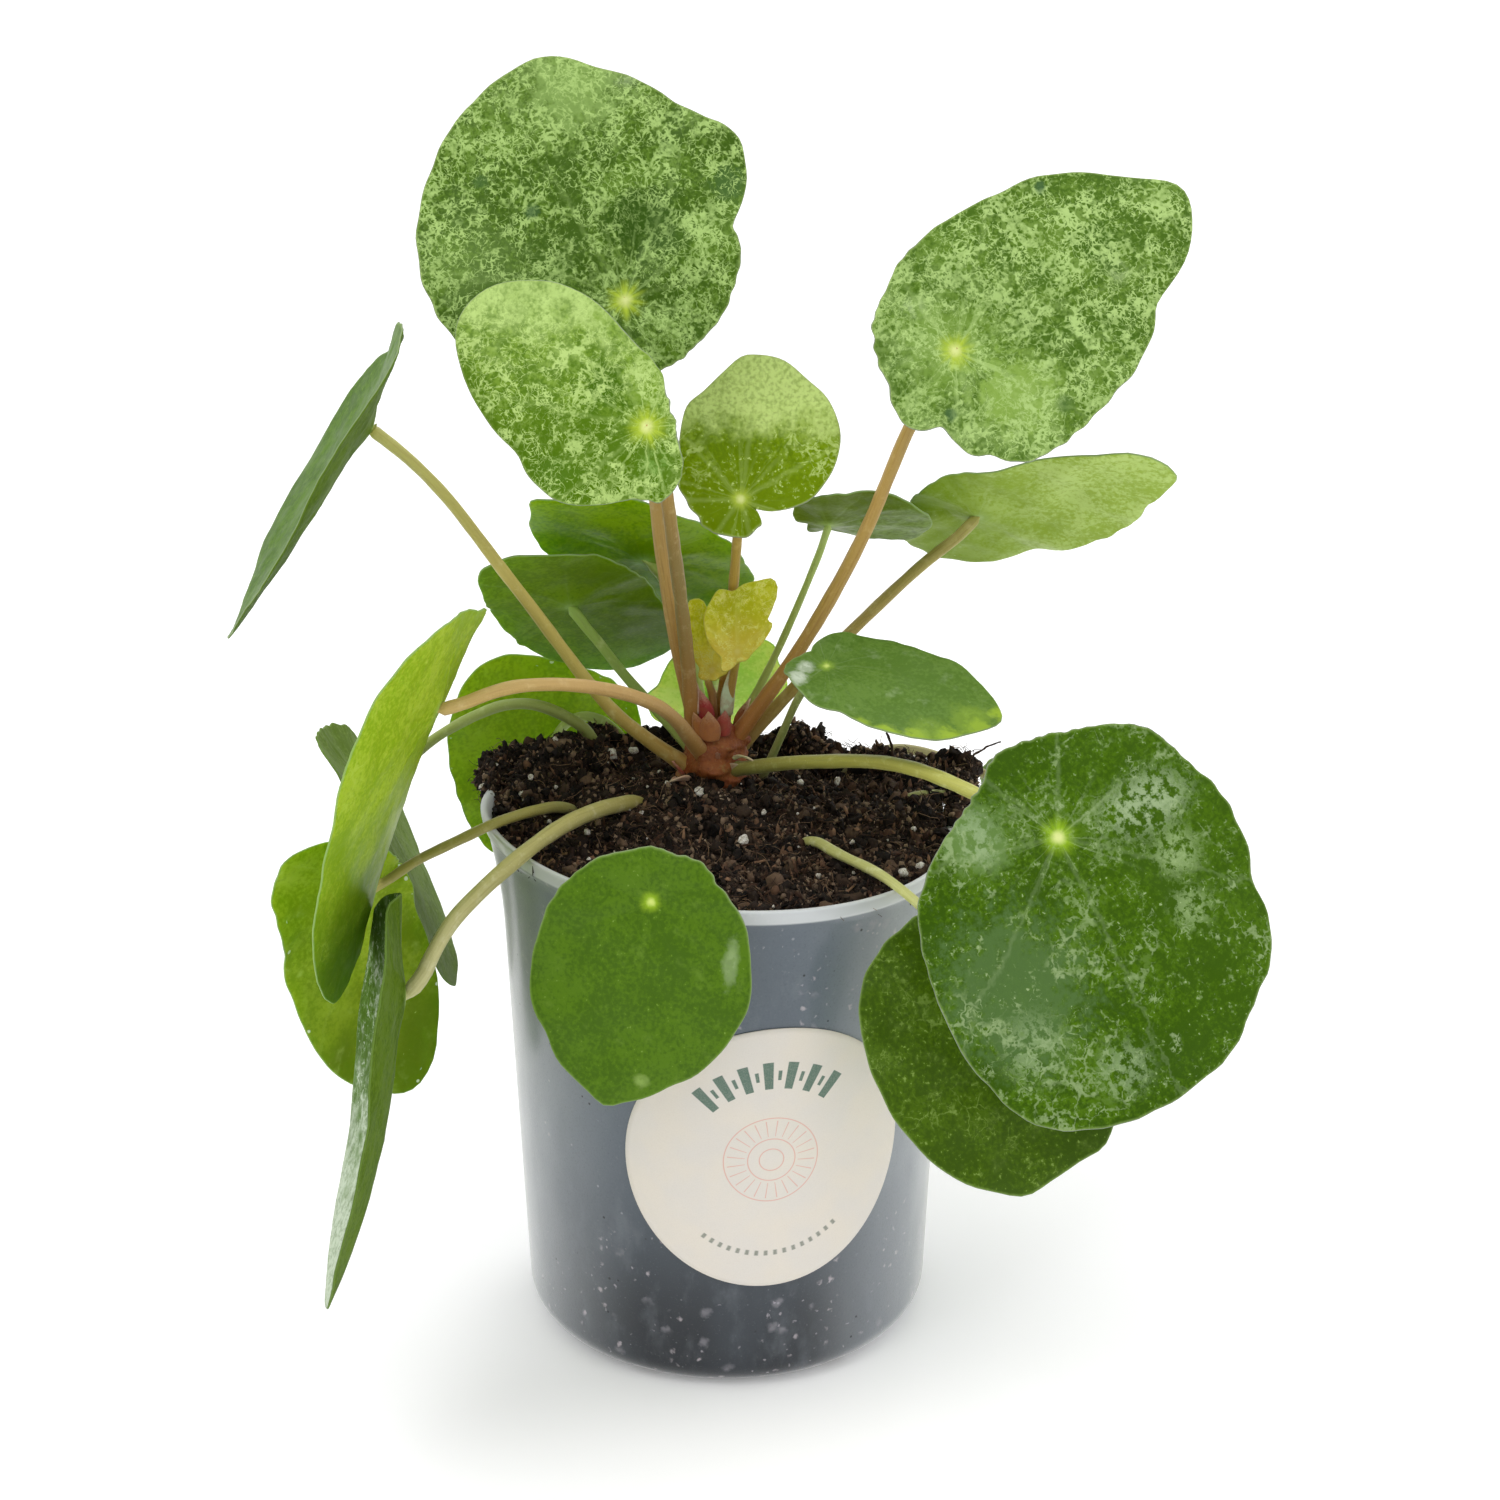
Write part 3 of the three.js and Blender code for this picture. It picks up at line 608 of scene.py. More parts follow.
def fibre_recipe() -> Recipe:
    """Makes the tree that lays thin bent fibres on a surface.

    Returns:
        The tree. It reads the point measure bed, and leaves tone.
    """
    r = Recipe("fibres", Density=("Float", 1.0), Seed=("Int", 1), Length=("Float", 0.006),
               Thickness=("Float", 0.0001), Bend=("Float", 0.004))
    end = r.join(r.size("Length"), 0.0, 0.0)
    line = r.shape("GeometryNodeCurvePrimitiveLine", {"Start": r.stretch(end, -1.0), "End": end})
    line = r.shape("GeometryNodeResampleCurve", {"Curve": line, "Count": 7})
    size = r.add("FunctionNodeRandomValue", {2: 0.35, 3: 1.0, "Seed": 4}, data_type="FLOAT")
    real = r.strew(line, r.draw((-0.5, -0.5, 0.0), (0.5, 0.5, FULL_TURN), 3), size.outputs[1])
    bent = r.jolt(real, 160.0, 1.0, (0.5, 0.5, 0.45), "Bend")
    ring = r.shape("GeometryNodeCurvePrimitiveCircle", {
        "Resolution": 4, "Radius": r.size("Thickness")})
    r.close(r.shape("GeometryNodeCurveToMesh", {
        "Curve": bent, "Profile Curve": ring, "Fill Caps": True}))
    return r


def line_base(points: np.ndarray, girths: np.ndarray) -> bpy.types.Object:
    """Makes the line of points that the stalk tree follows.

    Args:
        points: the line, in millimetres.
        girths: the radius at each point, in millimetres.

    Returns:
        An object of points and edges with the measure girth in metres.
    """
    mesh = bpy.data.meshes.new("line")
    mesh.from_pydata((points * MM).tolist(), [(i, i + 1) for i in range(len(points) - 1)], [])
    layer = mesh.attributes.new("girth", "FLOAT", "POINT")
    layer.data.foreach_set("value", (girths * MM).astype(np.float32))
    return linked("line", mesh)


# ---- leaves -------------------------------------------------------------------

class Foot(Enum):
    """What a leaf's stalk grows out of."""

    CROWN = "crown"
    SOIL = "soil"


@dataclass(frozen=True)
class Patch:
    """A patch of another colour: its middle, radius and share on the blade.

    A stretch above one makes it long towards the far end. Solid is the share left where
    it is broken up.
    """

    x: float
    y: float
    radius: float
    colour: str
    share: float = 1.0
    stretch: float = 1.0
    solid: float = 0.15


@dataclass(frozen=True)
class Grain:
    """Where a point lies on a blade, and the noise that it is painted with."""

    at: Socket
    x: Socket
    y: Socket
    away: Socket
    broad: Socket
    middle: Socket
    small: Socket
    fine: Socket


@dataclass(frozen=True)
class LeafFinish:
    """Colours and markings of one face of a blade.

    Shares run from 0 to 1. The pale sheen is painted light, standing in for light reflected
    off the blade; it drifts towards lean, a direction to the right and up. Tint colours the
    far end from there. Through is the share of light that the blade lets pass. The darker and
    paler patches laid first are partly the leaf's own tone and partly painted shade along its
    folds; they colour only what is between the lines of the pale network, and patches lie over it.
    """

    deep: str = "456214"
    mid: str = "567325"
    pale: str = "A8C475"
    lace: float = 0.6
    flecks: float = 0.5
    islands: float = 0.5
    painted_sheen: float = 0.0
    drift: float = 0.0
    lean: tuple[float, float] = (0.0, 1.0)
    tint: str = "6F9E2A"
    tinted: float = 0.0
    glow: str = "B4CC38"
    core: str = "E4EC9C"
    glow_radius: float = 3.0
    rays: float = 0.6
    veins: float = 0.15
    margin: str = "A0B868"
    margin_width: float = 0.7
    edge: str = "8C9A78"
    dots: float = 0.0
    rough: float = 0.46
    gloss: float = 0.16
    matrix: float = 2.0
    through: float = 0.0
    stains_and_shade: tuple[Patch, ...] = ()
    patches: tuple[Patch, ...] = ()

    def paint(self, name: str, seed: int, low: float, high: float) -> bpy.types.Material:
        """Makes the material.

        Args:
            name: the material's name.
            seed: moves the pattern, so that no two leaves are alike.
            low: the blade's lowest reach along lean, in millimetres.
            high: its highest reach along lean.

        Returns:
            The material. It reads the measures plane and rim.
        """
        p = Paint(name, IOR=1.45, Specular_IOR_Level=self.gloss,
                  Subsurface_Weight=self.through, Subsurface_Radius=(0.6, 1.0, 0.2),
                  Subsurface_Scale=3 * MM)
        flat = p.measure("plane", vector=True)
        at = p.shift(flat, (0.0, 0.0, 7.3 * seed))
        x, y, _ = p.parts(flat)
        away = p.math("SQRT", p.plus(p.times(x, x), p.times(y, y)))
        broad, middle = p.cloud(at, 15.0, 3.0), p.cloud(at, 5.5, 3.0, 0.6)
        small, fine = p.cloud(at, 2.6, 4.0, 0.65), p.cloud(at, 1.1, 2.0, 0.6)
        grain = Grain(at, x, y, away, broad, middle, small, fine)
        p.ground(self.deep, self.mid,
                 p.ease(p.mad(broad, 0.9, p.mad(small, 0.7, fine)), 1.12, 1.5))
        share = p.add("ShaderNodeMapRange", {
            0: p.along(p.place(), (self.lean[0], 0.0, self.lean[1])), 1: low, 2: high}).outputs[0]
        p.coat(self.tint, p.mad(broad, 0.4, share), 0.9, 0.35, self.tinted)
        # the first patches are partly the leaf's own tone and partly painted shade along the folds
        self.lay_patches(p, grain, self.stains_and_shade, 2.6, False)
        # painted sheen: a pale share that grows towards lean, standing in for light reflected off
        # the blade
        painted_sheen_share = p.ease(p.nudge(p.nudge(self.painted_sheen, share, self.drift), middle, 1.2), 0.05, 0.7)
        thin = p.times(p.less(share, 0.5), 0.16 * self.drift)
        net = self.network(p, replace(grain, broad=p.plus(broad, thin)))
        p.cover(self.pale, p.most(net, p.times(painted_sheen_share, p.ease(fine, 0.3, 0.6, 0.5, 0.9))))
        self.lay_patches(p, grain, self.patches, 1.8, True)
        across = self.paint_star(p, grain, seed)
        self.paint_margin(p, flat, small)
        rough = p.plus(p.ease(middle, 0.3, 0.7, self.rough - 0.06, self.rough + 0.08),
                       p.times(net, 0.06))
        veined = p.times(p.ease(across, 0.0, 0.8), 0.25)
        return p.finish(rough, p.plus(p.times(fine, 0.5), p.plus(p.times(net, 0.3), veined)),
                        0.12)

    def lay_patches(self, p: Paint, grain: Grain, patches: tuple[Patch, ...], fray: float,
                    broken: bool) -> None:
        """Lays patches of colour.

        Args:
            p: the material that they are painted in.
            grain: the point and its noise.
            patches: what is laid.
            fray: how ragged their edges are, as a share of their radius.
            broken: whether they are broken up inside.
        """
        for patch in patches:
            off = p.join(p.less(grain.x, patch.x),
                         p.times(p.less(grain.y, patch.y), patch.stretch), 0.0)
            far = p.add("ShaderNodeVectorMath", {0: off}, operation="LENGTH").outputs["Value"]
            cover = p.ease(p.nudge(far, grain.small, fray * patch.radius), patch.radius * 1.2,
                           patch.radius * 0.4, 0.0, patch.share)
            if broken:
                cover = p.times(cover, p.ease(grain.small, 0.44, 0.56, patch.solid, 1.0))
            p.cover(patch.colour, cover)

    def paint_star(self, p: Paint, grain: Grain, seed: int) -> Socket:
        """Paints the rays, the veins and the pale star at the junction.

        Args:
            p: the material.
            grain: the point and its noise.
            seed: turns the rays.

        Returns:
            The point's distance from the next vein.
        """
        away, small, radius = grain.away, grain.small, self.glow_radius
        near = p.most(away, 0.01)
        wheel = p.join(p.math("DIVIDE", grain.x, near), p.math("DIVIDE", grain.y, near),
                       1.7 * seed)
        spoke = p.cloud(wheel, 0.34)
        thread = p.cloud(p.shift(wheel, p.join(p.times(small, 0.25), 0.0, 9.0)), 0.13)
        p.cover(self.pale, p.times(
            p.ease(thread, 0.55, 0.68),
            p.ease(p.nudge(away, spoke, -30.0), 22.0, 4.0, 0.0, self.rays)))
        turn = p.math("ARCTAN2", grain.y, grain.x)
        wave = p.mad(turn, 3.5, p.times(p.less(grain.middle, 0.5), 0.7))
        across = p.times(p.math("ABSOLUTE", p.math("SINE", wave)), p.times(away, 0.28))
        if self.veins:
            p.coat(self.pale, across, 1.0, 0.1, self.veins)
        star = p.nudge(p.nudge(away, spoke, -(0.5 + 3.2 * self.rays) * radius), small, 2.2)
        p.coat(self.glow, star, 2.0 * radius, 0.1 * radius, 0.95)
        p.coat(self.core, p.nudge(away, small, 1.5), 0.85 * radius, 0.1, 0.9)
        return across

    def paint_margin(self, p: Paint, flat: Socket, small: Socket) -> None:
        """Paints the pale band at the margin, its dots, and the very edge.

        Args:
            p: the material.
            flat: the point on the blade.
            small: noise of small blotches.
        """
        rim = p.measure("rim")
        p.coat(self.margin, p.mad(small, 0.8, rim), self.margin_width + 0.6, 0.45, 0.5)
        if self.dots:
            beads = p.ease(p.cells(flat, 3.7), 0.19, 0.13)
            p.cover("DDE8D0", p.times(beads, p.ease(
                p.math("ABSOLUTE", p.less(rim, 1.9)), 1.5, 1.1, 0.0, self.dots)))
        p.coat(self.edge, rim, 0.3, 0.05, 0.7)

    def network(self, p: Paint, grain: Grain) -> Socket:
        """Draws the pale network: broken lines round cells of three sizes, and flecks.

        Args:
            p: the material that it is drawn in.
            grain: the point and its noise.

        Returns:
            The share of the pale colour, from 0 to 1.
        """
        at, away, broad, middle = grain.at, grain.away, grain.broad, grain.middle
        small, fine = grain.small, grain.fine

        def bent(size: float, reach: float) -> Socket:
            """Gives a push by noise of a size, up to a reach."""
            return p.stretch(p.shift(p.drift(at, size), (0.5, 0.5, 0.5), "SUBTRACT"), reach)

        # cells close to the junction are drawn out along the way from it
        spun = p.join(p.times(p.math("DIVIDE", grain.x, p.plus(away, 9.0)), 13.0),
                      p.times(p.math("DIVIDE", grain.y, p.plus(away, 9.0)), 13.0),
                      p.times(p.math("LOGARITHM", p.plus(away, 6.0), 2.718), 5.0))
        shaken = p.shift(bent(4.0, 4.5), bent(1.2, 1.1))
        flat, drawn = p.shift(at, shaken), p.shift(spun, shaken)
        zone = p.mad(self.lace, 0.3, p.times(broad, 0.35))
        wander = p.cloud(p.shift(at, (11.0, 50.0, 20.0)), 9.0, 3.0)
        width = p.times(p.ease(fine, 0.3, 0.7, 0.03, 0.15),
                        p.ease(wander, 0.42, 0.64, 0.6, self.matrix))

        def lines(spot: Socket, size: float, thick: float, gate: Socket, limit: float) -> Socket:
            """Draws broken lines between cells of a size where the gate passes a limit."""
            wide = p.times(width, thick)
            line = p.ease(p.cells(spot, size, "DISTANCE_TO_EDGE"), wide, p.times(wide, 0.25))
            return p.times(line, p.ease(p.plus(gate, zone), limit, limit + 0.12))

        first = lines(flat, 3.1, 0.7, small, 0.82)
        second = lines(p.shift(flat, (40.0, 9.0, 3.0)), 1.7, 0.9, middle, 0.88)
        third = lines(flat, 5.6, 0.55, broad, 0.8)
        near = p.times(p.most(lines(drawn, 2.2, 0.75, small, 0.84),
                              lines(drawn, 1.1, 0.75, middle, 0.9)), p.ease(away, 34.0, 12.0))
        webs = p.most(p.times(first, 0.9), second, third)
        webs = p.most(p.times(webs, p.ease(away, 6.0, 24.0, 0.3, 1.0)), near)
        webs = p.times(webs, p.ease(p.mad(fine, 0.5, middle), 0.5, 0.9, 0.35, 1.0))
        blots = p.ease(p.mad(self.lace, 0.08, small), 0.68, 0.78, 0.0, 0.6)
        specks = p.ease(p.mad(small, 0.3, fine), 0.9 - 0.12 * self.flecks,
                        0.98 - 0.12 * self.flecks, 0.0, 0.8)
        net = p.most(p.times(p.most(webs, blots), min(1.0, 1.4 * self.lace)), specks)
        isle = p.cloud(p.shift(at, (90.0, 30.0, 10.0)), 4.2, 2.0, 0.55)
        return p.times(net, p.ease(isle, 0.66 - 0.08 * self.islands,
                                   0.6 - 0.08 * self.islands, 0.15, 1.0))


@dataclass(frozen=True)
class StalkFinish:
    """Colours of a petiole from its foot to the blade, and its streaks."""

    foot: str = "A8703C"
    middle: str = "B08A50"
    top: str = "B8A860"
    streak: str = "8C6A3A"
    bright: str = "D9CE96"
    streaks: float = 0.5

    def paint(self, name: str) -> bpy.types.Material:
        """Makes the material, which reads the measures along and turn.

        Args:
            name: the material's name.

        Returns:
            The material.
        """
        p = Paint(name, IOR=1.45, Sheen_Weight=0.08, Sheen_Roughness=0.5)
        at, along, turn = p.place(), p.measure("along"), p.measure("turn")
        p.ground(self.foot, self.middle, p.ease(along, 0.02, 0.4))
        p.coat(self.top, along, 0.45, 0.98)
        ring = p.times(turn, 2 * math.pi)
        drawn = p.join(p.math("COSINE", ring), p.math("SINE", ring), p.times(along, 3.0))
        lines, blotch = p.cloud(drawn, 0.32, 3.0, 0.6), p.cloud(at, 3.5, 3.0, 0.6)
        fine = p.cloud(at, 0.45)
        p.coat(self.streak, lines, 0.45, 0.75, self.streaks)
        p.coat(self.bright, blotch, 0.52, 0.8, 0.5)
        p.coat(self.bright, fine, 0.62, 0.8, 0.35)
        return p.finish(p.ease(blotch, 0.3, 0.7, 0.38, 0.55),
                        p.plus(fine, p.times(lines, 0.7)), 0.1)


@dataclass(frozen=True)
class Lobe:
    """A place where the margin swells or shrinks: its turn and spread in degrees, its reach."""

    turn: float
    spread: float
    reach: float


@dataclass(frozen=True)
class Fold:
    """A valley, or a ridge where its depth is below zero, that runs out from the junction.

    Its turn is in degrees; the rest is in millimetres.
    """

    turn: float
    depth: float
    width: float = 5.0
    start: float = 6.0
    end: float = 60.0


@dataclass(frozen=True)
class LeafLook:
    """How one leaf looks: its finishes, and what its blade and stalk do beyond their solids."""

    upper: LeafFinish
    lower: LeafFinish
    stalk: StalkFinish
    foot: Foot = Foot.CROWN
    lobes: tuple[Lobe, ...] = ()
    folds: tuple[Fold, ...] = ()
    lean: tuple[float, float, float] = (0.0, 0.0, 0.0)
    ripple: float = 0.35
    scallop: float = 0.25


@dataclass
class Leaf:
    """One leaf: a round blade, and the petiole that meets it from below."""

    name: str
    seed: int
    look: LeafLook
    stalk_recipe: Recipe
    slot: str = "blade"
    cad_sectors: int = 24
    cad_rings: int = 3
    dimple_depth: float = 1.5
    dimple_radius: float = 7.0
    half_thickness: float = 0.45
    half_margin: float = 0.26
    crease: float = 0.2
    veins: int = 8
    foot_sink: float = 2.0
    top_sink: float = 0.1
    bend: float = 9.0
    steps: int = 64
    grids: tuple = ((14.0, (96, 12)), (30.0, (144, 20)), (math.inf, (192, 28)))

    def build(self) -> None:
        """Builds the petiole and the blade, and puts them in place."""
        line, girths = self.read_stalk()
        self.read_blade(line)
        self.build_stalk(line, girths)
        self.build_blade()

    def read_stalk(self) -> tuple[np.ndarray, np.ndarray]:
        """Reads the petiole's middle line and radii from its node.

        Returns:
            Points from one end to the other, and a radius at each.
        """
        points, triangles = welded(f"petiole_{self.name}")
        near = neighbours(triangles)
        poles = [i for i in near if all(len(near[n]) == 5 for n in near[i])]
        seen, ring, rings = {poles[0]}, {poles[0]}, [[poles[0]]]
        while ring:
            ring = {n for i in ring for n in near[i]} - seen
            seen |= ring
            if ring:
                rings.append(sorted(ring))
        line = np.array([points[r].mean(axis=0) for r in rings])
        girths = np.array([np.linalg.norm(points[r] - c, axis=1).mean()
                           for r, c in zip(rings, line)])
        girths[0], girths[-1] = girths[1], girths[-2]
        return line, girths

    def read_blade(self, line: np.ndarray) -> None:
        """Reads the blade's plane, reach and lift from its node.

        Args:
            line: the petiole's middle line, which ends under the blade.
        """
        points, triangles = welded(f"blade_{self.name}")
        near = neighbours(triangles)
        poles = [i for i, ring in near.items() if len(ring) == self.cad_sectors]
        middle = points[poles].mean(axis=0)
        self.flipped = bool(np.linalg.norm(line[0] - middle) < np.linalg.norm(line[-1] - middle))
        top = line[0] if self.flipped else line[-1]
        poles.sort(key=lambda i: float(np.linalg.norm(points[i] - top)))
        lower, upper = poles
        self.up = unit(points[upper] - points[lower])
        self.joint = middle + self.up * self.dimple_depth
        seen, ring, rings = {upper}, {upper}, []
        for _ in range(self.cad_rings):
            ring = {n for i in ring for n in near[i]} - seen
            seen |= ring
            rings.append(np.array(sorted(ring)))
        thick = float(np.linalg.norm(points[upper] - points[lower]))
        spots = [points[r] - self.up * thick / 2 - self.joint for r in rings]
        lifts = [s @ self.up for s in spots]
        flats = [s - np.outer(lift, self.up) for s, lift in zip(spots, lifts)]
        self.tip = unit(flats[-1].sum(axis=0))
        self.side = np.cross(self.up, self.tip)
        turns = [np.arctan2(f @ self.side, f @ self.tip) for f in flats]
        order = np.argsort(turns[-1])
        self.first_turn = float(turns[-1][order[0]])
        self.reach = np.linalg.norm(flats[-1], axis=1)[order]
        columns = [np.full(self.cad_sectors, -self.dimple_depth)]
        for turn, lift in zip(turns, lifts):
            apart = np.abs(np.angle(np.exp(1j * (turns[-1][order][:, None] - turn[None, :]))))
            columns.append(lift[apart.argmin(axis=1)])
        shares = np.arange(self.cad_rings + 1) / self.cad_rings
        self.lifts = np.stack(columns, axis=1) + self.dimple(self.reach[:, None] * shares)

    def dimple(self, away: np.ndarray) -> np.ndarray:
        """Gives how deep the blade dips at a distance from the junction."""
        return self.dimple_depth * np.exp(-(away / self.dimple_radius) ** 2)

    def build_stalk(self, line: np.ndarray, girths: np.ndarray) -> None:
        """Builds the petiole as a smooth grooved tube, flared at the blade.

        Args:
            line: the middle line of its node.
            girths: the radii along that line.
        """
        if self.flipped:
            line, girths = line[::-1], girths[::-1]
        fine = open_curve(line, self.steps)
        radii = np.interp(np.linspace(0, 1, self.steps), np.linspace(0, 1, len(girths)), girths)
        fine[0] -= unit(fine[1] - fine[0]) * self.foot_sink
        fine += np.outer(np.linspace(1, 0, self.steps) ** 2, self.look.lean)
        run = np.concatenate([[0], np.cumsum(np.linalg.norm(np.diff(fine, axis=0), axis=1))])
        near = np.clip(1 - (run[-1] - run) / self.bend, 0, 1)
        seat = self.joint - self.up * (self.dimple_depth + self.half_thickness - self.top_sink)
        fine += np.outer(near ** 2 * (3 - 2 * near), seat - fine[-1])
        radii = radii * (1 + 0.4 * np.exp(-(run[-1] - run) / 2.2))
        off = fine - self.joint
        below = -(off @ self.up)
        aside = np.linalg.norm(off + np.outer(below, self.up), axis=1)
        tilt = np.sqrt(1 - np.clip(unit(np.gradient(fine, axis=0)) @ self.up, -1, 1) ** 2)
        room = (below - self.dimple(aside) + 0.15) / np.maximum(tilt, 0.15)
        radii = np.where(near > 0, np.minimum(radii, np.maximum(room, 0.3)), radii)
        radii *= 1 + 0.035 * swell(fine, self.seed, 9.0)
        if self.look.foot is Foot.CROWN:
            radii *= (1 + 0.36 * np.exp(-run / 7.0)) * np.clip(0.4 + run / 5.0, 0.0, 1.0)
        piece = self.stalk_recipe.make(
            f"stalk_{self.name}", line_base(fine, radii),
            Sides=16, Groove=0.16, Material=self.look.stalk.paint(f"stalk_{self.name}"))
        settle_in(piece, "petiole", f"petiole_{self.name}")

    def lift_at(self, sectors: int, shares: np.ndarray) -> tuple[np.ndarray, np.ndarray]:
        """Reads the blade's height smoothly between the rings of its node.

        Args:
            sectors: how many even turns to read.
            shares: shares of the reach, one row per ring and one column per turn.

        Returns:
            The reach at each turn, and the heights in the shape of shares.
        """
        reach = closed_curve(self.reach, sectors)
        knots = closed_curve(self.lifts, sectors)
        far = np.roll(knots, sectors // 2, axis=0)[:, 1]
        step, far_step = reach / self.cad_rings, np.roll(reach, sectors // 2) / self.cad_rings
        slopes = np.diff(knots, axis=1) / step[:, None]
        back = (knots[:, 0] - far) / far_step
        lean = [(step * back + far_step * slopes[:, 0]) / (step + far_step),
                (slopes[:, 0] + slopes[:, 1]) / 2, (slopes[:, 1] + slopes[:, 2]) / 2]
        lean.append(1.5 * slopes[:, 2] - 0.5 * lean[2])
        leans = np.stack(lean, axis=1)
        k = np.clip((shares * self.cad_rings).astype(int), 0, self.cad_rings - 1)
        t = shares * self.cad_rings - k
        column = np.broadcast_to(np.arange(sectors), shares.shape)
        a, b = knots[column, k], knots[column, k + 1]
        m, n = leans[column, k] * step[column], leans[column, k + 1] * step[column]
        heights = ((2 * t ** 3 - 3 * t ** 2 + 1) * a + (t ** 3 - 2 * t ** 2 + t) * m
                   + (3 * t ** 2 - 2 * t ** 3) * b + (t ** 3 - t ** 2) * n)
        return reach, heights

    def build_blade(self) -> None:
        """Builds the blade as one closed shell with a soft margin, and dresses both faces."""
        size = float(self.reach.mean())
        sectors, rings = next(grid for limit, grid in self.grids if size < limit)
        turns = self.first_turn + even_turns(sectors)
        flat_reach = closed_curve(self.reach, sectors)
        bows = np.radians([0.0, 32.0, 60.0, 90.0])
        inner = (np.arange(1, rings + 1) / rings)[:, None] * (1 - self.half_margin / flat_reach)
        outer = 1 - (1 - np.sin(bows[1:]))[:, None] * self.half_margin / flat_reach
        shares = np.vstack([inner, outer])
        reach, heights = self.lift_at(sectors, shares)
        round_spots = np.stack([np.cos(turns), np.sin(turns)], axis=1)
        teeth = swell(round_spots * size, self.seed + 50, 7.0)
        reach = reach + self.look.scallop * teeth * np.clip(size / 30, 0.3, 1)
        for lobe in self.look.lobes:
            reach = reach + lobe.reach * np.exp(-(off_turn(turns, lobe.turn) / lobe.spread) ** 2)
        away = shares * reach
        x, y = away * np.cos(turns), away * np.sin(turns)
        heights = heights - self.dimple(away)
        spots = np.stack([x.ravel(), y.ravel()], axis=1)
        calm = np.clip(away / 12, 0, 1)
        ripple = self.look.ripple * calm
        heights += ripple * swell(spots, self.seed, 17.0).reshape(x.shape)
        heights += 0.3 * ripple * swell(spots, self.seed + 9, 6.0).reshape(x.shape)
        for fold in self.look.folds:
            way = math.radians(fold.turn)
            run = x * math.cos(way) + y * math.sin(way)
            aside = (y * math.cos(way) - x * math.sin(way)) / fold.width
            grown = np.clip(run / fold.start, 0, 1) * np.clip((fold.end - run) / fold.start, 0, 1)
            heights -= fold.depth * grown * np.exp(-aside ** 2)
        bend = turns + 0.35 * np.sin(away * 0.09)
        across = np.abs(np.sin(bend * self.veins / 2)) * away * 2 / self.veins
        heights -= self.crease * np.exp(-(across / 1.1) ** 2) * calm * (1 - 0.6 * shares)
        middle = (self.joint + x[..., None] * self.tip + y[..., None] * self.side
                  + heights[..., None] * self.up)
        centre = self.joint - self.up * self.dimple_depth
        inward = np.concatenate([np.broadcast_to(centre, (1, sectors, 3)), middle[:-1]])
        outward = np.concatenate([middle[1:], middle[-1:]])
        normals = unit(np.cross(outward - inward,
                                np.roll(middle, -1, axis=1) - np.roll(middle, 1, axis=1)))
        half = self.half_thickness + (self.half_margin - self.half_thickness) * inner ** 4
        half = np.vstack([half, self.half_margin * np.cos(bows[1:])[:, None]
                          * np.ones((1, sectors))])
        shift = normals * half[..., None]
        loops = rings + len(bows) - 2
        upper, lower = (middle + shift)[:loops], (middle - shift)[:loops]
        points = np.vstack([
            centre + self.up * self.half_thickness, upper.reshape(-1, 3), middle[-1],
            lower[::-1].reshape(-1, 3), centre - self.up * self.half_thickness])
        both = np.vstack([np.zeros((1, 3)), *(
            np.stack([x[k], y[k], np.full(sectors, side)], axis=1)
            for side, order in ((0.0, range(loops + 1)), (40.0, range(loops - 1, -1, -1)))
            for k in order), [[0.0, 0.0, 40.0]]])
        gap = ((1 - shares) * reach)[:loops]
        rim = np.concatenate([[size], gap.ravel(), np.zeros(sectors), gap[::-1].ravel(), [size]])
        faces = shell_faces(2 * loops + 1, sectors)
        under = 1 + (loops + 1) * sectors
        slots = [int(max(face) >= under) for face in faces]
        materials = []
        for finish, side in ((self.look.upper, "top"), (self.look.lower, "under")):
            reach_along = points @ np.array([finish.lean[0], 0.0, finish.lean[1]])
            materials.append(finish.paint(
                f"{self.name}_{side}", self.seed + (13 if side == "under" else 0),
                float(reach_along.min()), float(reach_along.max())))
        piece = make_piece(f"leaf_{self.name}", points, faces, materials, slots,
                           {"plane": both, "rim": rim})
        settle_in(piece, self.slot, f"blade_{self.name}")


# ---- pot and label ------------------------------------------------------------

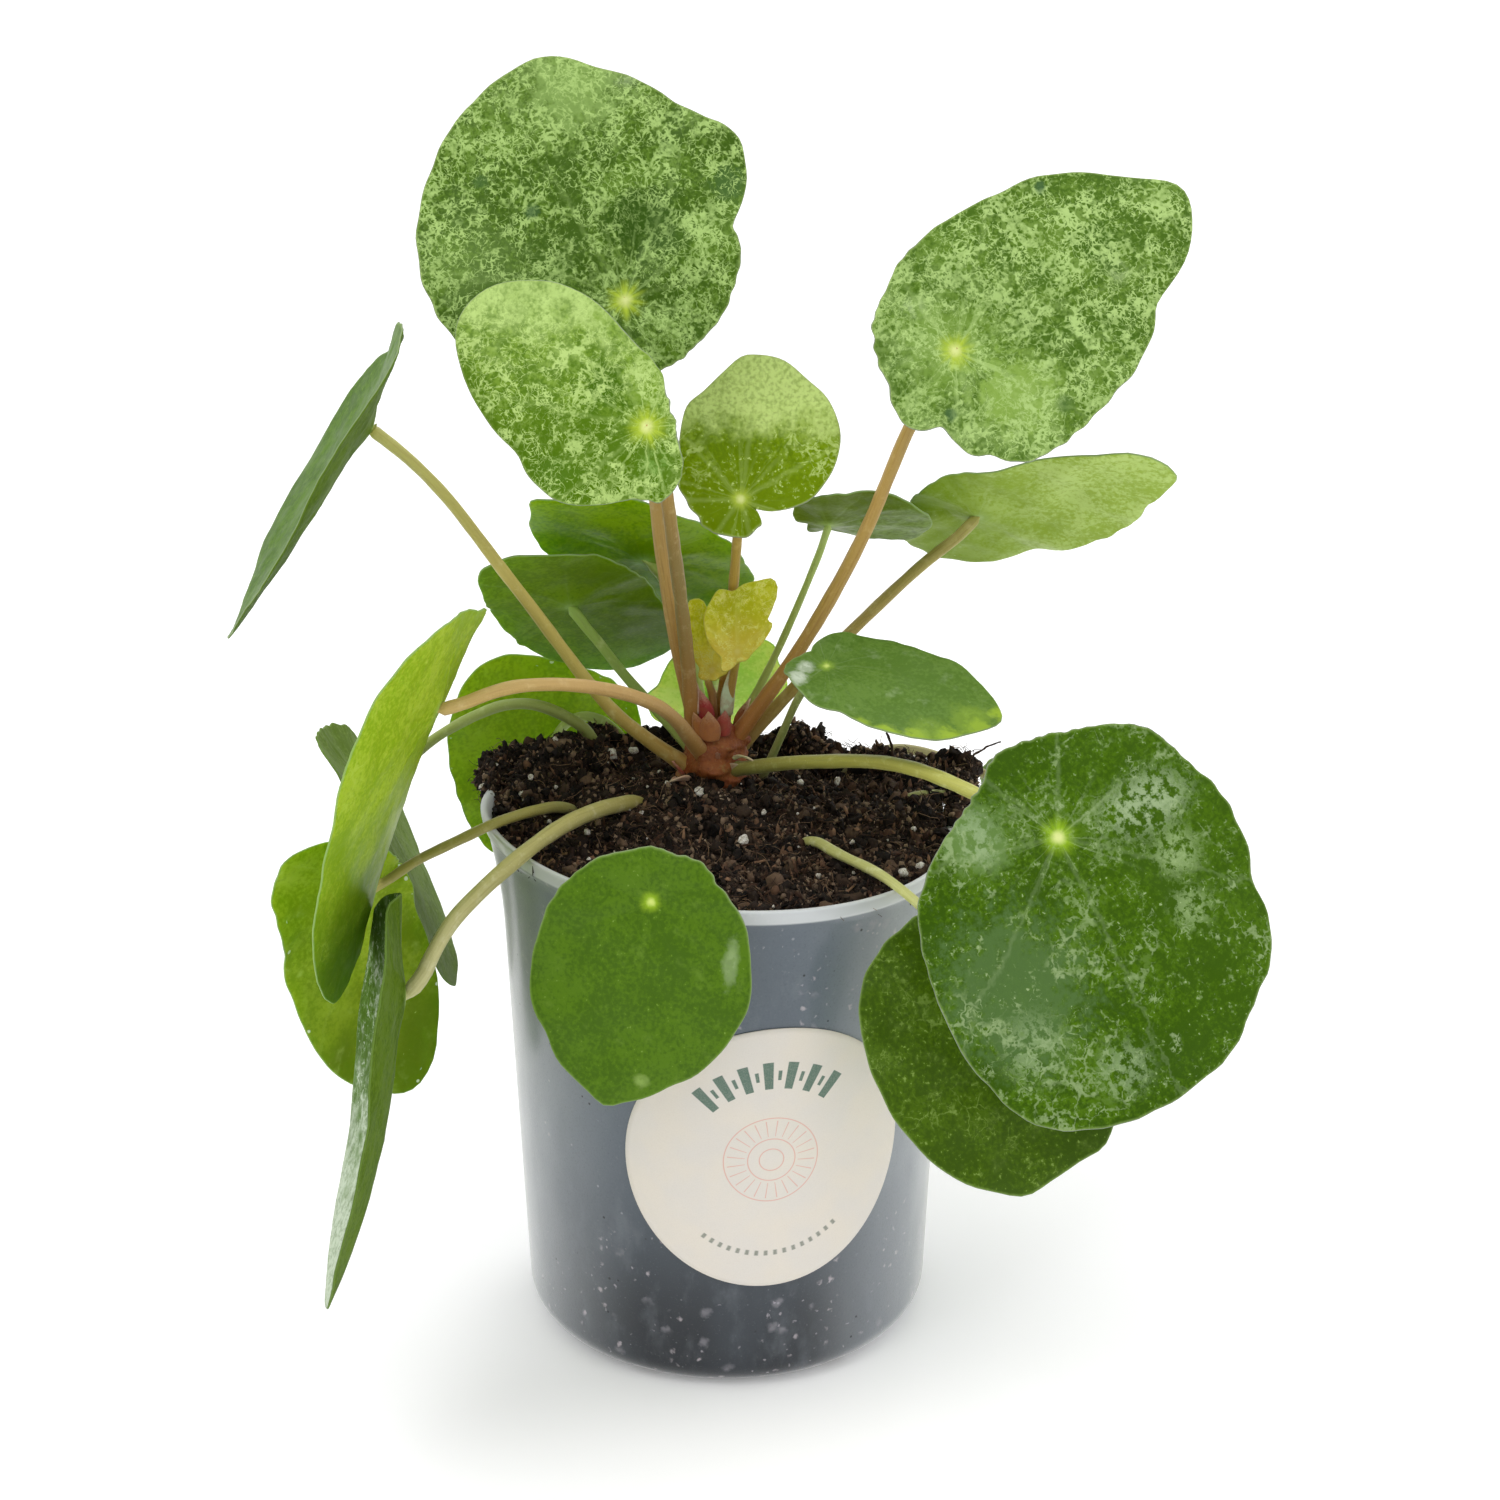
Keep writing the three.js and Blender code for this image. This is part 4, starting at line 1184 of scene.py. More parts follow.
@dataclass
class Pot:
    """The soft nursery pot: a tapered wall with a rolled rim and a rounded foot."""

    height: float = 141.5
    top_radius: float = 60.0
    base_radius: float = 54.0
    wall: float = 1.4
    corner: float = 8.0
    bead: float = 0.5
    rim_height: float = 3.5
    sectors: int = 180
    settle_from: float = 114.0
    fall: tuple[float, float] = (0.06, 0.04)
    bulge: float = 4.5
    bulge_turn: float = 172.0
    bulge_spread: float = 28.0
    slots: int = 6
    first_slot: float = -55.0
    slot_size: tuple[float, float, float] = (12.0, 7.0, 2.4)
    slot_radius: float = 50.0

    def radius(self, z: float) -> float:
        """Gives the wall's outer radius at a height."""
        return self.base_radius + (self.top_radius - self.base_radius) * z / self.height

    def settle(self, points: np.ndarray) -> np.ndarray:
        """Moves points as the soft wall has given way.

        Args:
            points: points of an upright pot, one per row.

        Returns:
            The points with the rim fallen and pushed out.
        """
        x, y, z = points.T
        share = np.maximum(0, (z - self.settle_from) / (self.height - self.settle_from)) ** 2
        away = off_turn(np.arctan2(y, x), self.bulge_turn)
        reach = np.hypot(x, y) / self.top_radius
        push = 1 + (self.bulge / self.top_radius) * share * reach * np.exp(
            -(away / self.bulge_spread) ** 2)
        fallen = z - (x * self.fall[0] + y * self.fall[1]) * np.minimum(share, 1)
        return np.stack([x * push, y * push, fallen], axis=1)

    def profile(self) -> list[tuple[float, float]]:
        """Lists the outline from the inner floor over the rim to the base.

        Returns:
            A radius and a height for each loop.
        """
        rim = self.height - self.rim_height
        middle = self.radius(self.corner) - self.corner
        bow = np.radians(np.linspace(-90, 0, 11))
        inner = self.corner - self.wall
        inside = [(middle + inner * math.cos(a), self.corner + inner * math.sin(a)) for a in bow]
        inside += [(self.radius(z) - self.wall, z) for z in np.linspace(20, self.height - 1, 26)]
        lip_in = self.top_radius - self.wall
        lip_out = self.top_radius + self.bead
        lip = [(lip_in + 0.15, self.height - 0.25), (lip_in + 0.5, self.height),
               (lip_out - 0.45, self.height), (lip_out - 0.1, self.height - 0.25),
               (lip_out, self.height - 0.7), (lip_out, self.height - 1.8),
               (self.radius(rim) + self.bead, rim + 0.5), (self.radius(rim) + 0.3, rim + 0.1),
               (self.radius(rim), rim - 0.35)]
        outside = [(self.radius(z), z) for z in np.linspace(rim - 2, 12, 34)]
        foot = [(middle + self.corner * math.cos(a), self.corner + self.corner * math.sin(a))
                for a in bow[::-1]]
        floor = [(r, self.wall) for r in (20.0, 40.0)]
        return [*floor, *inside, *lip, *outside, *foot, (40.0, 0.0), (20.0, 0.0)]

    def build(self) -> None:
        """Builds the wall, cuts the drain slots, and dresses it."""
        turns = even_turns(self.sectors)
        loops = self.profile()
        points = np.vstack([[[0, 0, self.wall]], *(circle(turns, r, z) for r, z in loops),
                            [[0, 0, 0]]])
        base = make_piece("wall", points, shell_faces(len(loops), self.sectors), [])
        cutter = self.slot_boxes()
        cut = base.modifiers.new("slots", "BOOLEAN")
        cut.operation, cut.object, cut.solver = "DIFFERENCE", cutter, "EXACT"
        graph = bpy.context.evaluated_depsgraph_get()
        mesh = bpy.data.meshes.new_from_object(base.evaluated_get(graph), depsgraph=graph)
        bpy.data.objects.remove(base)
        bpy.data.objects.remove(cutter)
        spots = np.empty(len(mesh.vertices) * 3)
        mesh.vertices.foreach_get("co", spots)
        moved = self.settle(spots.reshape(-1, 3) / MM) * MM
        mesh.vertices.foreach_set("co", moved.ravel())
        mesh.materials.clear()
        mesh.materials.append(self.paint())
        settle_in(linked("nursery_pot", mesh), "pot", "pot")

    def slot_boxes(self) -> bpy.types.Object:
        """Makes the boxes that the drain slots are cut with.

        Returns:
            One object with all the boxes.
        """
        long, wide, tall = self.slot_size
        points, faces = [], []
        for k in range(self.slots):
            a = math.radians(self.first_slot + 360 * k / self.slots)
            out = np.array([math.cos(a), math.sin(a), 0])
            side = np.array([-math.sin(a), math.cos(a), 0])
            start = len(points)
            for z in (-tall, tall):
                for u, v in ((-1, -1), (1, -1), (1, 1), (-1, 1)):
                    points.append(out * (self.slot_radius + u * long / 2) + side * v * wide / 2
                                  + np.array([0, 0, z]))
            for face in ((3, 2, 1, 0), (4, 5, 6, 7), (0, 1, 5, 4), (1, 2, 6, 5), (2, 3, 7, 6),
                         (3, 0, 4, 7)):
                faces.append(tuple(start + i for i in face))
        return make_piece("slot_boxes", np.array(points), faces, [])

    def paint(self) -> bpy.types.Material:
        """Makes the cloudy grey-blue plastic with pale grains and dark specks, darker towards the
        bottom, with painted light that makes its left and right sides paler.

        Returns:
            The material.
        """
        p = Paint("frosted_grey_plastic", IOR=1.5, Specular_IOR_Level=0.3, Coat_Weight=0.6,
                  Coat_Roughness=0.18, Sheen_Weight=1.0, Sheen_Roughness=0.3)
        at = p.place()
        x, y, z = p.parts(at)
        long = p.join(x, y, p.times(z, 0.5))
        cloud, smoke = p.cloud(long, 34.0, 3.0), p.cloud(long, 9.0, 4.0, 0.6)
        grain = p.cloud(at, 0.6, 3.0, 0.75)
        p.ground("5B6671", "0E1620", p.ease(z, 86.0, 12.0))
        # painted light: paler towards both sides and more towards the right, standing in for the
        # white surround reflected at the pot's edges and light through its wall
        p.coat("A6ACB2", p.math("ABSOLUTE", x), 20.0, 56.0, 0.6)
        p.coat("B6BBC0", x, 14.0, 54.0, 0.4)
        p.coat("4A545F", cloud, 0.38, 0.7, 0.35)
        p.coat("858B92", smoke, 0.5, 0.78, 0.25)
        p.coat("262C33", grain, 0.5, 0.8, 0.28)
        p.coat("9A9EA4", grain, 0.42, 0.2, 0.2)
        shaken = p.shift(at, p.stretch(p.drift(at, 2.2, 3.0), 3.4))
        ends = p.most(p.ease(z, 62.0, 18.0, 0.0, 0.17), p.ease(z, 100.0, 118.0, 0.0, 0.15))
        gate = p.ease(p.plus(p.cloud(at, 13.0, 3.0), ends), 0.58, 0.7)
        for size, near, share, tone in ((8.0, 0.26, 0.4, "A4A0A8"), (5.2, 0.2, 0.6, "CDC2C8"),
                                        (3.2, 0.18, 0.5, "C4BCC4")):
            spot = p.ease(p.cells(shaken, size), near, 0.25 * near, 0.0, share)
            p.cover(tone, p.times(spot, gate))
        for size, near, tone in ((7.5, 0.07, "C8C6CC"), (3.4, 0.08, "8A8E95")):
            p.coat(tone, p.cells(p.shift(at, (size, 3.0, 9.0)), size), near, 0.4 * near, 0.3)
        p.coat("1A1D22", p.cells(p.shift(at, (31.0, 7.0, 3.0)), 6.5), 0.075, 0.04, 0.9)
        rim = p.plus(z, p.plus(p.times(x, self.fall[0]), p.times(y, self.fall[1])))
        line = self.height - self.rim_height
        p.coat("DFE2E4", rim, line - 0.5, line + 0.3, 0.85)
        return p.finish(p.ease(smoke, 0.3, 0.7, 0.32, 0.46),
                        p.plus(grain, p.times(smoke, 0.5)), 0.06)


@dataclass
class Label:
    """The round paper sticker on the front of the pot, with a plain printed motif."""

    diameter: float = 77.0
    height: float = 71.0
    turn: float = 12.0
    standoff: float = 0.12
    thickness: float = 0.35
    edge: float = 0.0022
    rings: int = 26
    sectors: int = 120

    def build(self, pot: Pot) -> None:
        """Builds the sticker on the pot's wall and dresses it.

        Args:
            pot: the pot that it is stuck on.
        """
        shares = [k / self.rings for k in range(1, self.rings + 1)]
        turns = even_turns(self.sectors)
        points, flat = [], []

        def place(share: float, lift: float) -> None:
            """Adds one loop of points at a share of the radius and a lift off the wall."""
            for a in turns if share else turns[:1]:
                u = self.diameter / 2 * share * math.cos(a)
                v = self.diameter / 2 * share * math.sin(a)
                z = self.height + v
                reach = pot.radius(z) + self.standoff + lift
                way = math.radians(self.turn - 90) + u / pot.radius(z)
                points.append((reach * math.cos(way), reach * math.sin(way), z))
                flat.append((u, v, lift))

        place(0, self.thickness)
        for share in shares:
            place(share, self.thickness)
        place(1 + self.edge, self.thickness * 0.6)
        place(1 + self.edge, 0.0)
        for share in shares[::-1]:
            place(share, 0.0)
        place(0, 0.0)
        faces = shell_faces(2 * len(shares) + 2, self.sectors)
        piece = make_piece("round_sticker", np.array(points), faces, [self.paint()],
                           measures={"print": np.array(flat)})
        settle_in(piece, "label", "label")

    def paint(self) -> bpy.types.Material:
        """Makes the cream paper with its printed bars, rings, strokes and dots.

        Returns:
            The material. It reads the measure print.
        """
        p = Paint("cream_paper", IOR=1.45)
        u, v, _ = p.parts(p.measure("print", vector=True))
        away = p.math("SQRT", p.plus(p.times(u, u), p.times(v, v)))
        turn = p.math("DEGREES", p.math("ARCTAN2", u, v))
        at = p.place()
        pulp, soft = p.cloud(at, 0.35, 3.0, 0.7), p.cloud(at, 11.0)
        p.ground("EAE2D6", "E6E0D8", p.ease(soft, 0.3, 0.7))
        p.coat("BDB3A6", pulp, 0.35, 0.8, 0.12)
        wear = p.ease(pulp, 0.2, 0.6, 0.75, 0.95)

        def band(value: Socket, centre: float, half: float, soft_edge: float = 0.12) -> Socket:
            """Gives a soft-edged band of a number round a centre."""
            off = p.math("ABSOLUTE", p.less(value, centre))
            return p.ease(off, half + soft_edge / 2, half - soft_edge / 2)

        def beat(step: float, half: float, soft_edge: float) -> Socket:
            """Gives marks at even turns of the label."""
            saw = p.math("FRACT", p.math("DIVIDE", p.plus(turn, 360.0), step))
            return p.ease(p.math("ABSOLUTE", p.less(saw, 0.5)), half + soft_edge,
                          half - soft_edge)

        spread = band(turn, -2.25, 46.0, 0.4)
        bars = p.times(band(away, 25.0, 3.9), spread, beat(13.5, 0.21, 0.02))
        slim = p.times(band(away, 25.0, 1.4), spread, p.less(1.0, beat(13.5, 0.42, 0.02)))
        p.cover("4F7060", p.times(p.most(bars, slim), wear))
        rings = p.most(*(band(away, radius, 0.14) for radius in (3.2, 6.2, 12.4)))
        strokes = p.times(band(away, 9.3, 2.3), beat(15.0, 0.045, 0.02))
        p.cover("E2A596", p.times(p.most(rings, strokes), 0.75))
        dots = p.times(band(away, 28.4, 0.75, 0.3), beat(5.0, 0.2, 0.1),
                       p.ease(p.math("ABSOLUTE", turn), 139.0, 140.0))
        p.cover("8C8F84", p.times(dots, wear))
        return p.finish(p.ease(pulp, 0.3, 0.7, 0.5, 0.62), pulp, 0.04)


# ---- soil ---------------------------------------------------------------------

@dataclass(frozen=True)
class Spot:
    """A single grain placed on the soil: where it lies, and its radius."""

    x: float
    y: float
    size: float
    z: float = 0.0


@dataclass(frozen=True)
class Spill:
    """A ridge of soil at or over the rim: points along it, each with its thickness."""

    path: tuple[tuple[float, float, float, float], ...]


@dataclass(frozen=True)
class Relief:
    """A broad rise of the soil, or a hollow where its height is below zero."""

    x: float
    y: float
    spread: float
    height: float


@dataclass(frozen=True)
class Bits:
    """One kind of bit strewn on the soil: how many lie on a square millimetre, and its tones."""

    number: float
    seed: int
    tones: tuple[str, str, str]

    def sizes(self) -> dict[str, object]:
        """Gives the sizes that its tree takes."""
        return {"Density": self.number / MM ** 2, "Seed": self.seed}


@dataclass(frozen=True)
class Crumbs(Bits):
    """Lumpy crumbs: their least and greatest size, how uneven they are, and their detail."""

    smallest: tuple[float, float, float]
    largest: tuple[float, float, float]
    uneven: float
    detail: int = 1

    def sizes(self) -> dict[str, object]:
        """Gives the sizes that its tree takes."""
        return {**super().sizes(), "Detail": self.detail, "Roughness": self.uneven * MM,
                "Smallest": tuple(side * MM for side in self.smallest),
                "Largest": tuple(side * MM for side in self.largest)}


@dataclass(frozen=True)
class Fibres(Bits):
    """Thin bent fibres: half their length, their radius, and how far they bend."""

    length: float
    thickness: float
    bend: float

    def sizes(self) -> dict[str, object]:
        """Gives the sizes that its tree takes."""
        return {**super().sizes(), "Length": self.length * MM, "Bend": self.bend * MM,
                "Thickness": self.thickness * MM}


@dataclass
class Soil:
    """The peat mix: an uneven top with crumbs, fibres, white grains and twigs."""

    gap: float = 0.3
    level: float = 138.0
    shoulder: float = 130.0
    sectors: int = 180
    rings: int = 60
    lump: float = 2.3
    loose_grains: int = 46
    grain_reach: float = 57.0
    bits: tuple[tuple[str, Bits], ...] = (
        ("grit", Crumbs(0.53, 7, ("3C2D23", "080402", "BCA58E"),
                        (0.25, 0.2, 0.18), (0.85, 0.5, 0.45), 0.7)),
        ("crumbs", Crumbs(0.46, 11, ("34261D", "070301", "927B65"),
                          (0.5, 0.35, 0.25), (1.8, 1.2, 0.9), 1.9)),
        ("lumps", Crumbs(0.024, 23, ("281D16", "070302", "6A5442"),
                         (1.2, 0.9, 0.8), (3.6, 2.6, 2.0), 5.4, 2)),
        ("chips", Crumbs(0.09, 41, ("4C3426", "140A06", "947258"),
                         (1.2, 0.5, 0.16), (3.6, 1.5, 0.45), 1.2)),
        ("fibres", Fibres(0.19, 31, ("513A2C", "1C110B", "94795F"), 3.4, 0.08, 9.0)))
    reliefs: tuple[Relief, ...] = (
        Relief(-7.0, -8.0, 15.0, 2.2), Relief(6.0, -30.0, 14.0, 1.4),
        Relief(24.0, 17.0, 9.0, -3.4), Relief(33.0, -10.0, 9.0, -2.0),
        Relief(56.0, 6.0, 10.0, 3.0), Relief(52.0, 26.0, 10.0, 4.6),
        Relief(44.0, 12.0, 6.5, 3.2), Relief(42.0, 37.0, 8.0, 4.0),
        Relief(58.0, 19.0, 8.0, 4.0),
        Relief(-42.0, 12.0, 13.0, 1.8), Relief(-34.0, -22.0, 11.0, -1.4))
    spills: tuple[Spill, ...] = (
        Spill(((-24, 44, 142, 3.0), (-34.6, 43, 145.6, 4.6), (-42, 41, 143.2, 4.0),
               (-49, 37, 142.4, 4.0), (-56, 33, 143.6, 4.4), (-61, 25.5, 144.2, 4.4),
               (-62.4, 17, 142.4, 4.2), (-61, 8, 140.2, 3.2))),
        Spill(((-32, 41, 143, 3.0), (-22, 42, 145.2, 3.8), (-14, 40, 144.2, 3.4),
               (-4, 37, 142, 2.6))),
        Spill(((2, 38, 141.2, 2.8), (11, 40, 144.4, 3.4), (19.2, 40, 147.8, 3.4),
               (25, 40, 144.2, 3.6), (31, 40, 140.8, 3.6), (40, 39, 140.8, 3.6),
               (49, 35, 141.4, 3.6), (56, 30, 141.0, 3.6))),
        Spill(((52, 37, 137.6, 3.0), (58, 34, 140.0, 4.2), (62.0, 29, 142.4, 4.4),
               (63.2, 23, 142.2, 4.0), (62.0, 14, 139.6, 3.6), (60.2, 4, 137.4, 2.8))))
    perlite: tuple[Spot, ...] = (
        Spot(-30.7, 25.3, 1.5), Spot(-25.3, 32.4, 1.3), Spot(-7.0, -1.5, 1.25),
        Spot(4.6, -18.7, 1.5), Spot(45.8, -27.2, 1.3), Spot(50.4, -21.7, 1.2),
        Spot(-15.3, 5.8, 1.0), Spot(49.4, -1.8, 0.8), Spot(-46.0, 26.0, 0.8),
        Spot(-54.0, 9.0, 1.0), Spot(-52.0, 14.0, 0.8), Spot(-22.0, -8.0, 0.7),
        Spot(24.0, -30.0, 0.7), Spot(-36.0, -14.0, 0.8), Spot(10.0, -4.0, 0.7),
        Spot(20.0, 22.0, 0.9), Spot(-40.0, 5.0, 0.7), Spot(33.0, -10.0, 0.7),
        Spot(14.0, -38.0, 0.9), Spot(-12.0, -30.0, 0.8), Spot(30.0, 30.0, 1.0),
        Spot(-10.0, 40.0, 1.1), Spot(5.0, 48.0, 0.9), Spot(-28.0, 44.0, 1.0),
        Spot(-65.0, 15.0, 1.0, 144.3), Spot(-61.8, 22.4, 0.8, 147.4))

    def build(self, pot: Pot, crumbs: Recipe, fibres: Recipe, twigs: Recipe) -> None:
        """Builds the soil and all that lies on it.

        Args:
            pot: the pot that it fills.
            crumbs: the tree that strews crumbs.
            fibres: the tree that lays fibres.
            twigs: the tree that makes a tube along a line.
        """
        self.ground = surface_of("soil")
        turns = even_turns(self.sectors)
        reach = pot.radius(self.level) - pot.wall - self.gap
        shares = (np.arange(1, self.rings + 1) / self.rings) ** 0.85
        spots = np.vstack([[[0, 0, self.level]],
                           *(circle(turns, reach * share, self.level) for share in shares)])
        spots = pot.settle(spots)
        inward = np.concatenate([[0.0], np.repeat(shares, self.sectors)])
        top = np.array([self.height(x, y) for x, y, _ in spots])
        rough = np.array([self.roughness(x, y) for x, y, _ in spots])
        top += rough * self.lump * np.clip((1 - inward) * 12 + 0.35, 0, 1)
        for rise in self.reliefs:
            far = np.hypot(spots[:, 0] - rise.x, spots[:, 1] - rise.y)
            top += rise.height * np.exp(-(far / rise.spread) ** 2)
        crest = np.stack([spots[:, 0], spots[:, 1], top], axis=1)
        inner = pot.corner - pot.wall - self.gap
        middle = pot.radius(pot.corner) - pot.corner
        bow = np.radians([0.0, -30.0, -60.0, -90.0])
        side = [(pot.radius(z) - pot.wall - self.gap, z) for z in (self.shoulder, 90.0, 50.0)]
        side += [(middle + inner * math.cos(a), pot.corner + inner * math.sin(a)) for a in bow]
        rings = [circle(turns, r, z) for r, z in side]
        floor = pot.wall + self.gap
        points = np.vstack([crest, pot.settle(np.vstack(rings)), [[0, 0, floor]]])
        material = self.paint("peat", "33251C", "080402", "7A634E")
        faces = shell_faces(self.rings + len(side), self.sectors)
        body = make_piece("peat", points, faces, [material],
                          measures={"tone": np.full(len(points), 0.4)})
        settle_in(body, "soil", "soil")
        tops = [(crest, [face for face in shell_faces(self.rings, self.sectors)
                         if max(face) < len(crest)])]
        for number, spill in enumerate(self.spills):
            tops.append(self.heap_spill(spill, number))
            ridge = make_piece(f"peat_spill_{number}", *tops[-1], [material],
                               measures={"tone": np.full(len(tops[-1][0]), 0.3)})
            settle_in(ridge, "soil")
        self.strew(tops, crumbs, fibres)
        self.lay_grains()
        self.lay_twigs(twigs)

    def height(self, x: float, y: float) -> float:
        """Gives the soil's height in its node, or just inside it at the wall."""
        for pull in (1.0, 0.985, 0.97, 0.95, 0.9):
            hit = self.ground.ray_cast(Vector((x * pull, y * pull, 400.0)), Vector((0, 0, -1)))
            if hit[0] is not None:
                return float(hit[0].z)
        return self.level

    def roughness(self, x: float, y: float) -> float:
        """Gives the lumpiness of the top, from about -1 to 1."""
        broad = noise.fractal(Vector((x / 8.0, y / 8.0, 2.0)), 0.8, 2.0, 5)
        clods = noise.voronoi(Vector((x / 6.0, y / 6.0, 5.0)))[0][0]
        return 0.95 * broad + 0.9 * (0.42 - clods)

    def heap_spill(self, spill: Spill, number: int) -> tuple[np.ndarray, list]:
        """Shapes one ridge of soil at the rim.

        Args:
            spill: where it runs and how thick it is.
            number: seed of its lumps.

        Returns:
            The points and the faces of a closed shell.
        """
        loops, sectors = 64, 28
        line = open_curve(np.array([p[:3] for p in spill.path], float), loops + 2)
        thick = open_curve(np.array([[p[3], 0.0, 0.0] for p in spill.path], float), loops + 2)
        share = np.linspace(-1, 1, loops + 2)
        girth = np.maximum(thick[:, 0] * np.sqrt(1 - share ** 4), 0.3)
        rounds = even_turns(sectors)
        points = [line[:1]]
        for middle, size in zip(line[1:-1], girth[1:-1]):
            out = unit(np.array([middle[0], middle[1], 0.0]))
            way = np.outer(np.cos(rounds), out) + np.outer(np.sin(rounds), [0.0, 0.0, 1.0])
            spots = middle + way * size
            bumps = 1 + 0.26 * swell(spots, 40 + number, 5.5)
            clods = np.array([noise.fractal(Vector(spot / 3.2), 0.8, 2.0, 4) for spot in spots])
            points.append(middle + way * (size * (bumps + 0.22 * clods))[:, None])
        points.append(line[-1:])
        return np.vstack(points), shell_faces(loops, sectors)

    def strew(self, tops: list[tuple[np.ndarray, list]], crumbs: Recipe,
              fibres: Recipe) -> None:
        """Strews crumbs, larger lumps and fibres over the soil.

        Args:
            tops: the points and faces of each surface that they lie on.
            crumbs: the tree that strews crumbs.
            fibres: the tree that lays fibres.
        """
        spots, faces = [], []
        for points, sides in tops:
            start = sum(len(s) for s in spots)
            spots.append(points)
            faces += [tuple(start + i for i in face) for face in sides]
        spots = np.vstack(spots)
        for name, bits in self.bits:
            bed = make_piece("bed", spots, faces, [], measures={"bed": np.ones(len(spots))})
            recipe = fibres if isinstance(bits, Fibres) else crumbs
            piece = recipe.make(f"peat_{name}", bed, **bits.sizes(),
                                Material=self.paint(f"peat_{name}", *bits.tones))
            settle_in(piece, "soil")

    def lay_grains(self) -> None:
        """Lays the white grains, each a rough pebble sunk a little into the soil."""
        points, faces = [], []
        for number, spot in enumerate(self.perlite):
            z = spot.z or self.height(spot.x, spot.y) + 0.75 * spot.size + 1.0
            self.add_pebble(points, faces, np.array([spot.x, spot.y, z]), spot.size, number)
        draw = np.random.default_rng(8)
        for number in range(self.loose_grains):
            turn, share = draw.uniform(0, 2 * math.pi), math.sqrt(draw.uniform(0, 0.93))
            x = self.grain_reach * share * math.cos(turn)
            y = self.grain_reach * share * math.sin(turn)
            size = draw.uniform(0.22, 0.62)
            spot = np.array([x, y, self.height(x, y) + 1.1])
            self.add_pebble(points, faces, spot, size, 100 + number, 5, 7)
        p = Paint("white_grains", IOR=1.5)
        at = p.place()
        pits = p.cloud(at, 0.5, 3.0, 0.7)
        p.ground("A79A8A", "EAE6DE", p.ease(pits, 0.35, 0.6))
        p.coat("6A5242", p.cloud(at, 1.6), 0.55, 0.75, 0.6)
        material = p.finish(0.8, pits, 0.25)
        piece = make_piece("perlite", np.array(points), faces, [material])
        settle_in(piece, "soil")

    def add_pebble(self, points: list, faces: list, centre: np.ndarray, size: float,
                   seed: int, rows: int = 7, sectors: int = 10) -> None:
        """Adds one rough pebble to lists of points and faces.

        Args:
            points: the points so far.
            faces: the faces so far.
            centre: its middle.
            size: its radius.
            seed: seed of its roughness.
            rows: how many loops it has.
            sectors: how many points each loop has.
        """
        start = len(points)
        rises = np.linspace(math.pi / 2, -math.pi / 2, rows + 2)
        turns = even_turns(sectors)
        ways = [np.array([0, 0, 1.0])]
        for rise in rises[1:-1]:
            ways += [np.array([math.cos(rise) * math.cos(a), math.cos(rise) * math.sin(a),
                               math.sin(rise)]) for a in turns]
        ways = np.array([*ways, [0, 0, -1.0]])
        bumps = 1 + 0.2 * swell(ways, seed, 1.6) + 0.1 * swell(ways, seed + 1, 0.7)
        points.extend(centre + ways * (size * bumps)[:, None])
        faces.extend(tuple(start + i for i in face) for face in shell_faces(rows, sectors))

    def lay_twigs(self, twigs: Recipe) -> None:
        """Lays the few twigs and roots that stand out of the soil.

        Args:
            twigs: the tree that makes stalks, for their round bodies.
        """
        paths = {
            "twig_rear": (0.55, (45.6, 32, 142), (45.2, 33, 145.4), (44.4, 34.5, 148.4),
                          (43.4, 36, 151.4)),
            "twig_right": (0.38, (62, 26, 143), (66, 28, 147.4), (70, 30, 148.8),
                           (74, 31, 150.1)),
            "root_front": (0.16, (40, -34, 137), (42, -40, 139), (45, -41, 140), (47, -40, 136)),
            "root_left": (0.2, (-40, -26, 142), (-34, -31, 144), (-28, -30, 143),
                          (-22, -33, 140)),
            "root_right": (0.18, (28, -18, 140), (34, -14, 143), (40, -15, 144), (47, -9, 140)),
        }
        material = self.paint("twig_bark", "5A4028", "2E1E14", "8C6A48")
        for name, (girth, *path) in paths.items():
            line = open_curve(np.array(path, float), 24)
            line += 0.25 * np.stack([swell(line, 3, 4.0), swell(line, 4, 4.0),
                                     swell(line, 5, 4.0)], axis=1)
            girths = girth * (1 + 0.18 * swell(line, 6, 2.5)) * np.linspace(1.1, 0.6, 24)
            piece = twigs.make(name, line_base(line, girths), Sides=8, Groove=0.0,
                               Material=material)
            settle_in(piece, "soil")

    def paint(self, name: str, mid: str, deep: str, light: str) -> bpy.types.Material:
        """Makes a peat colour that varies from crumb to crumb.

        Args:
            name: the material's name.
            mid: its usual colour.
            deep: its darkest colour.
            light: its lightest colour.

        Returns:
            The material. It reads the measure tone where the piece has it.
        """
        p = Paint(name, IOR=1.4, Specular_IOR_Level=0.35)
        at, tone = p.place(), p.measure("tone")
        clod, grit = p.cloud(at, 5.0, 3.0, 0.6), p.cloud(at, 0.6, 3.0, 0.7)
        p.ground(deep, mid, p.ease(p.mad(clod, 0.8, tone), 0.35, 1.2))
        p.coat(light, tone, 0.7, 0.96, 0.85)
        p.coat(light, grit, 0.55, 0.8, 0.6)
        return p.finish(p.ease(grit, 0.3, 0.7, 0.7, 0.95), grit, 0.3)


# ---- crown --------------------------------------------------------------------

@dataclass(frozen=True)
class Sheath:
    """A thin pointed scale on the crown: its foot, its aim, and its size.

    Dry is how pale and papery its tip is.
    """

    foot: tuple[float, float, float]
    tip: tuple[float, float, float]
    width: float
    colour: str
    cup: float = 0.5
    curl: float = 0.15
    dry: float = 0.75


@dataclass(frozen=True)
class Knob:
    """A swelling of the stem where a petiole grows from it."""

    turn: float
    z: float
    spread: float
    rise: float
    size: float


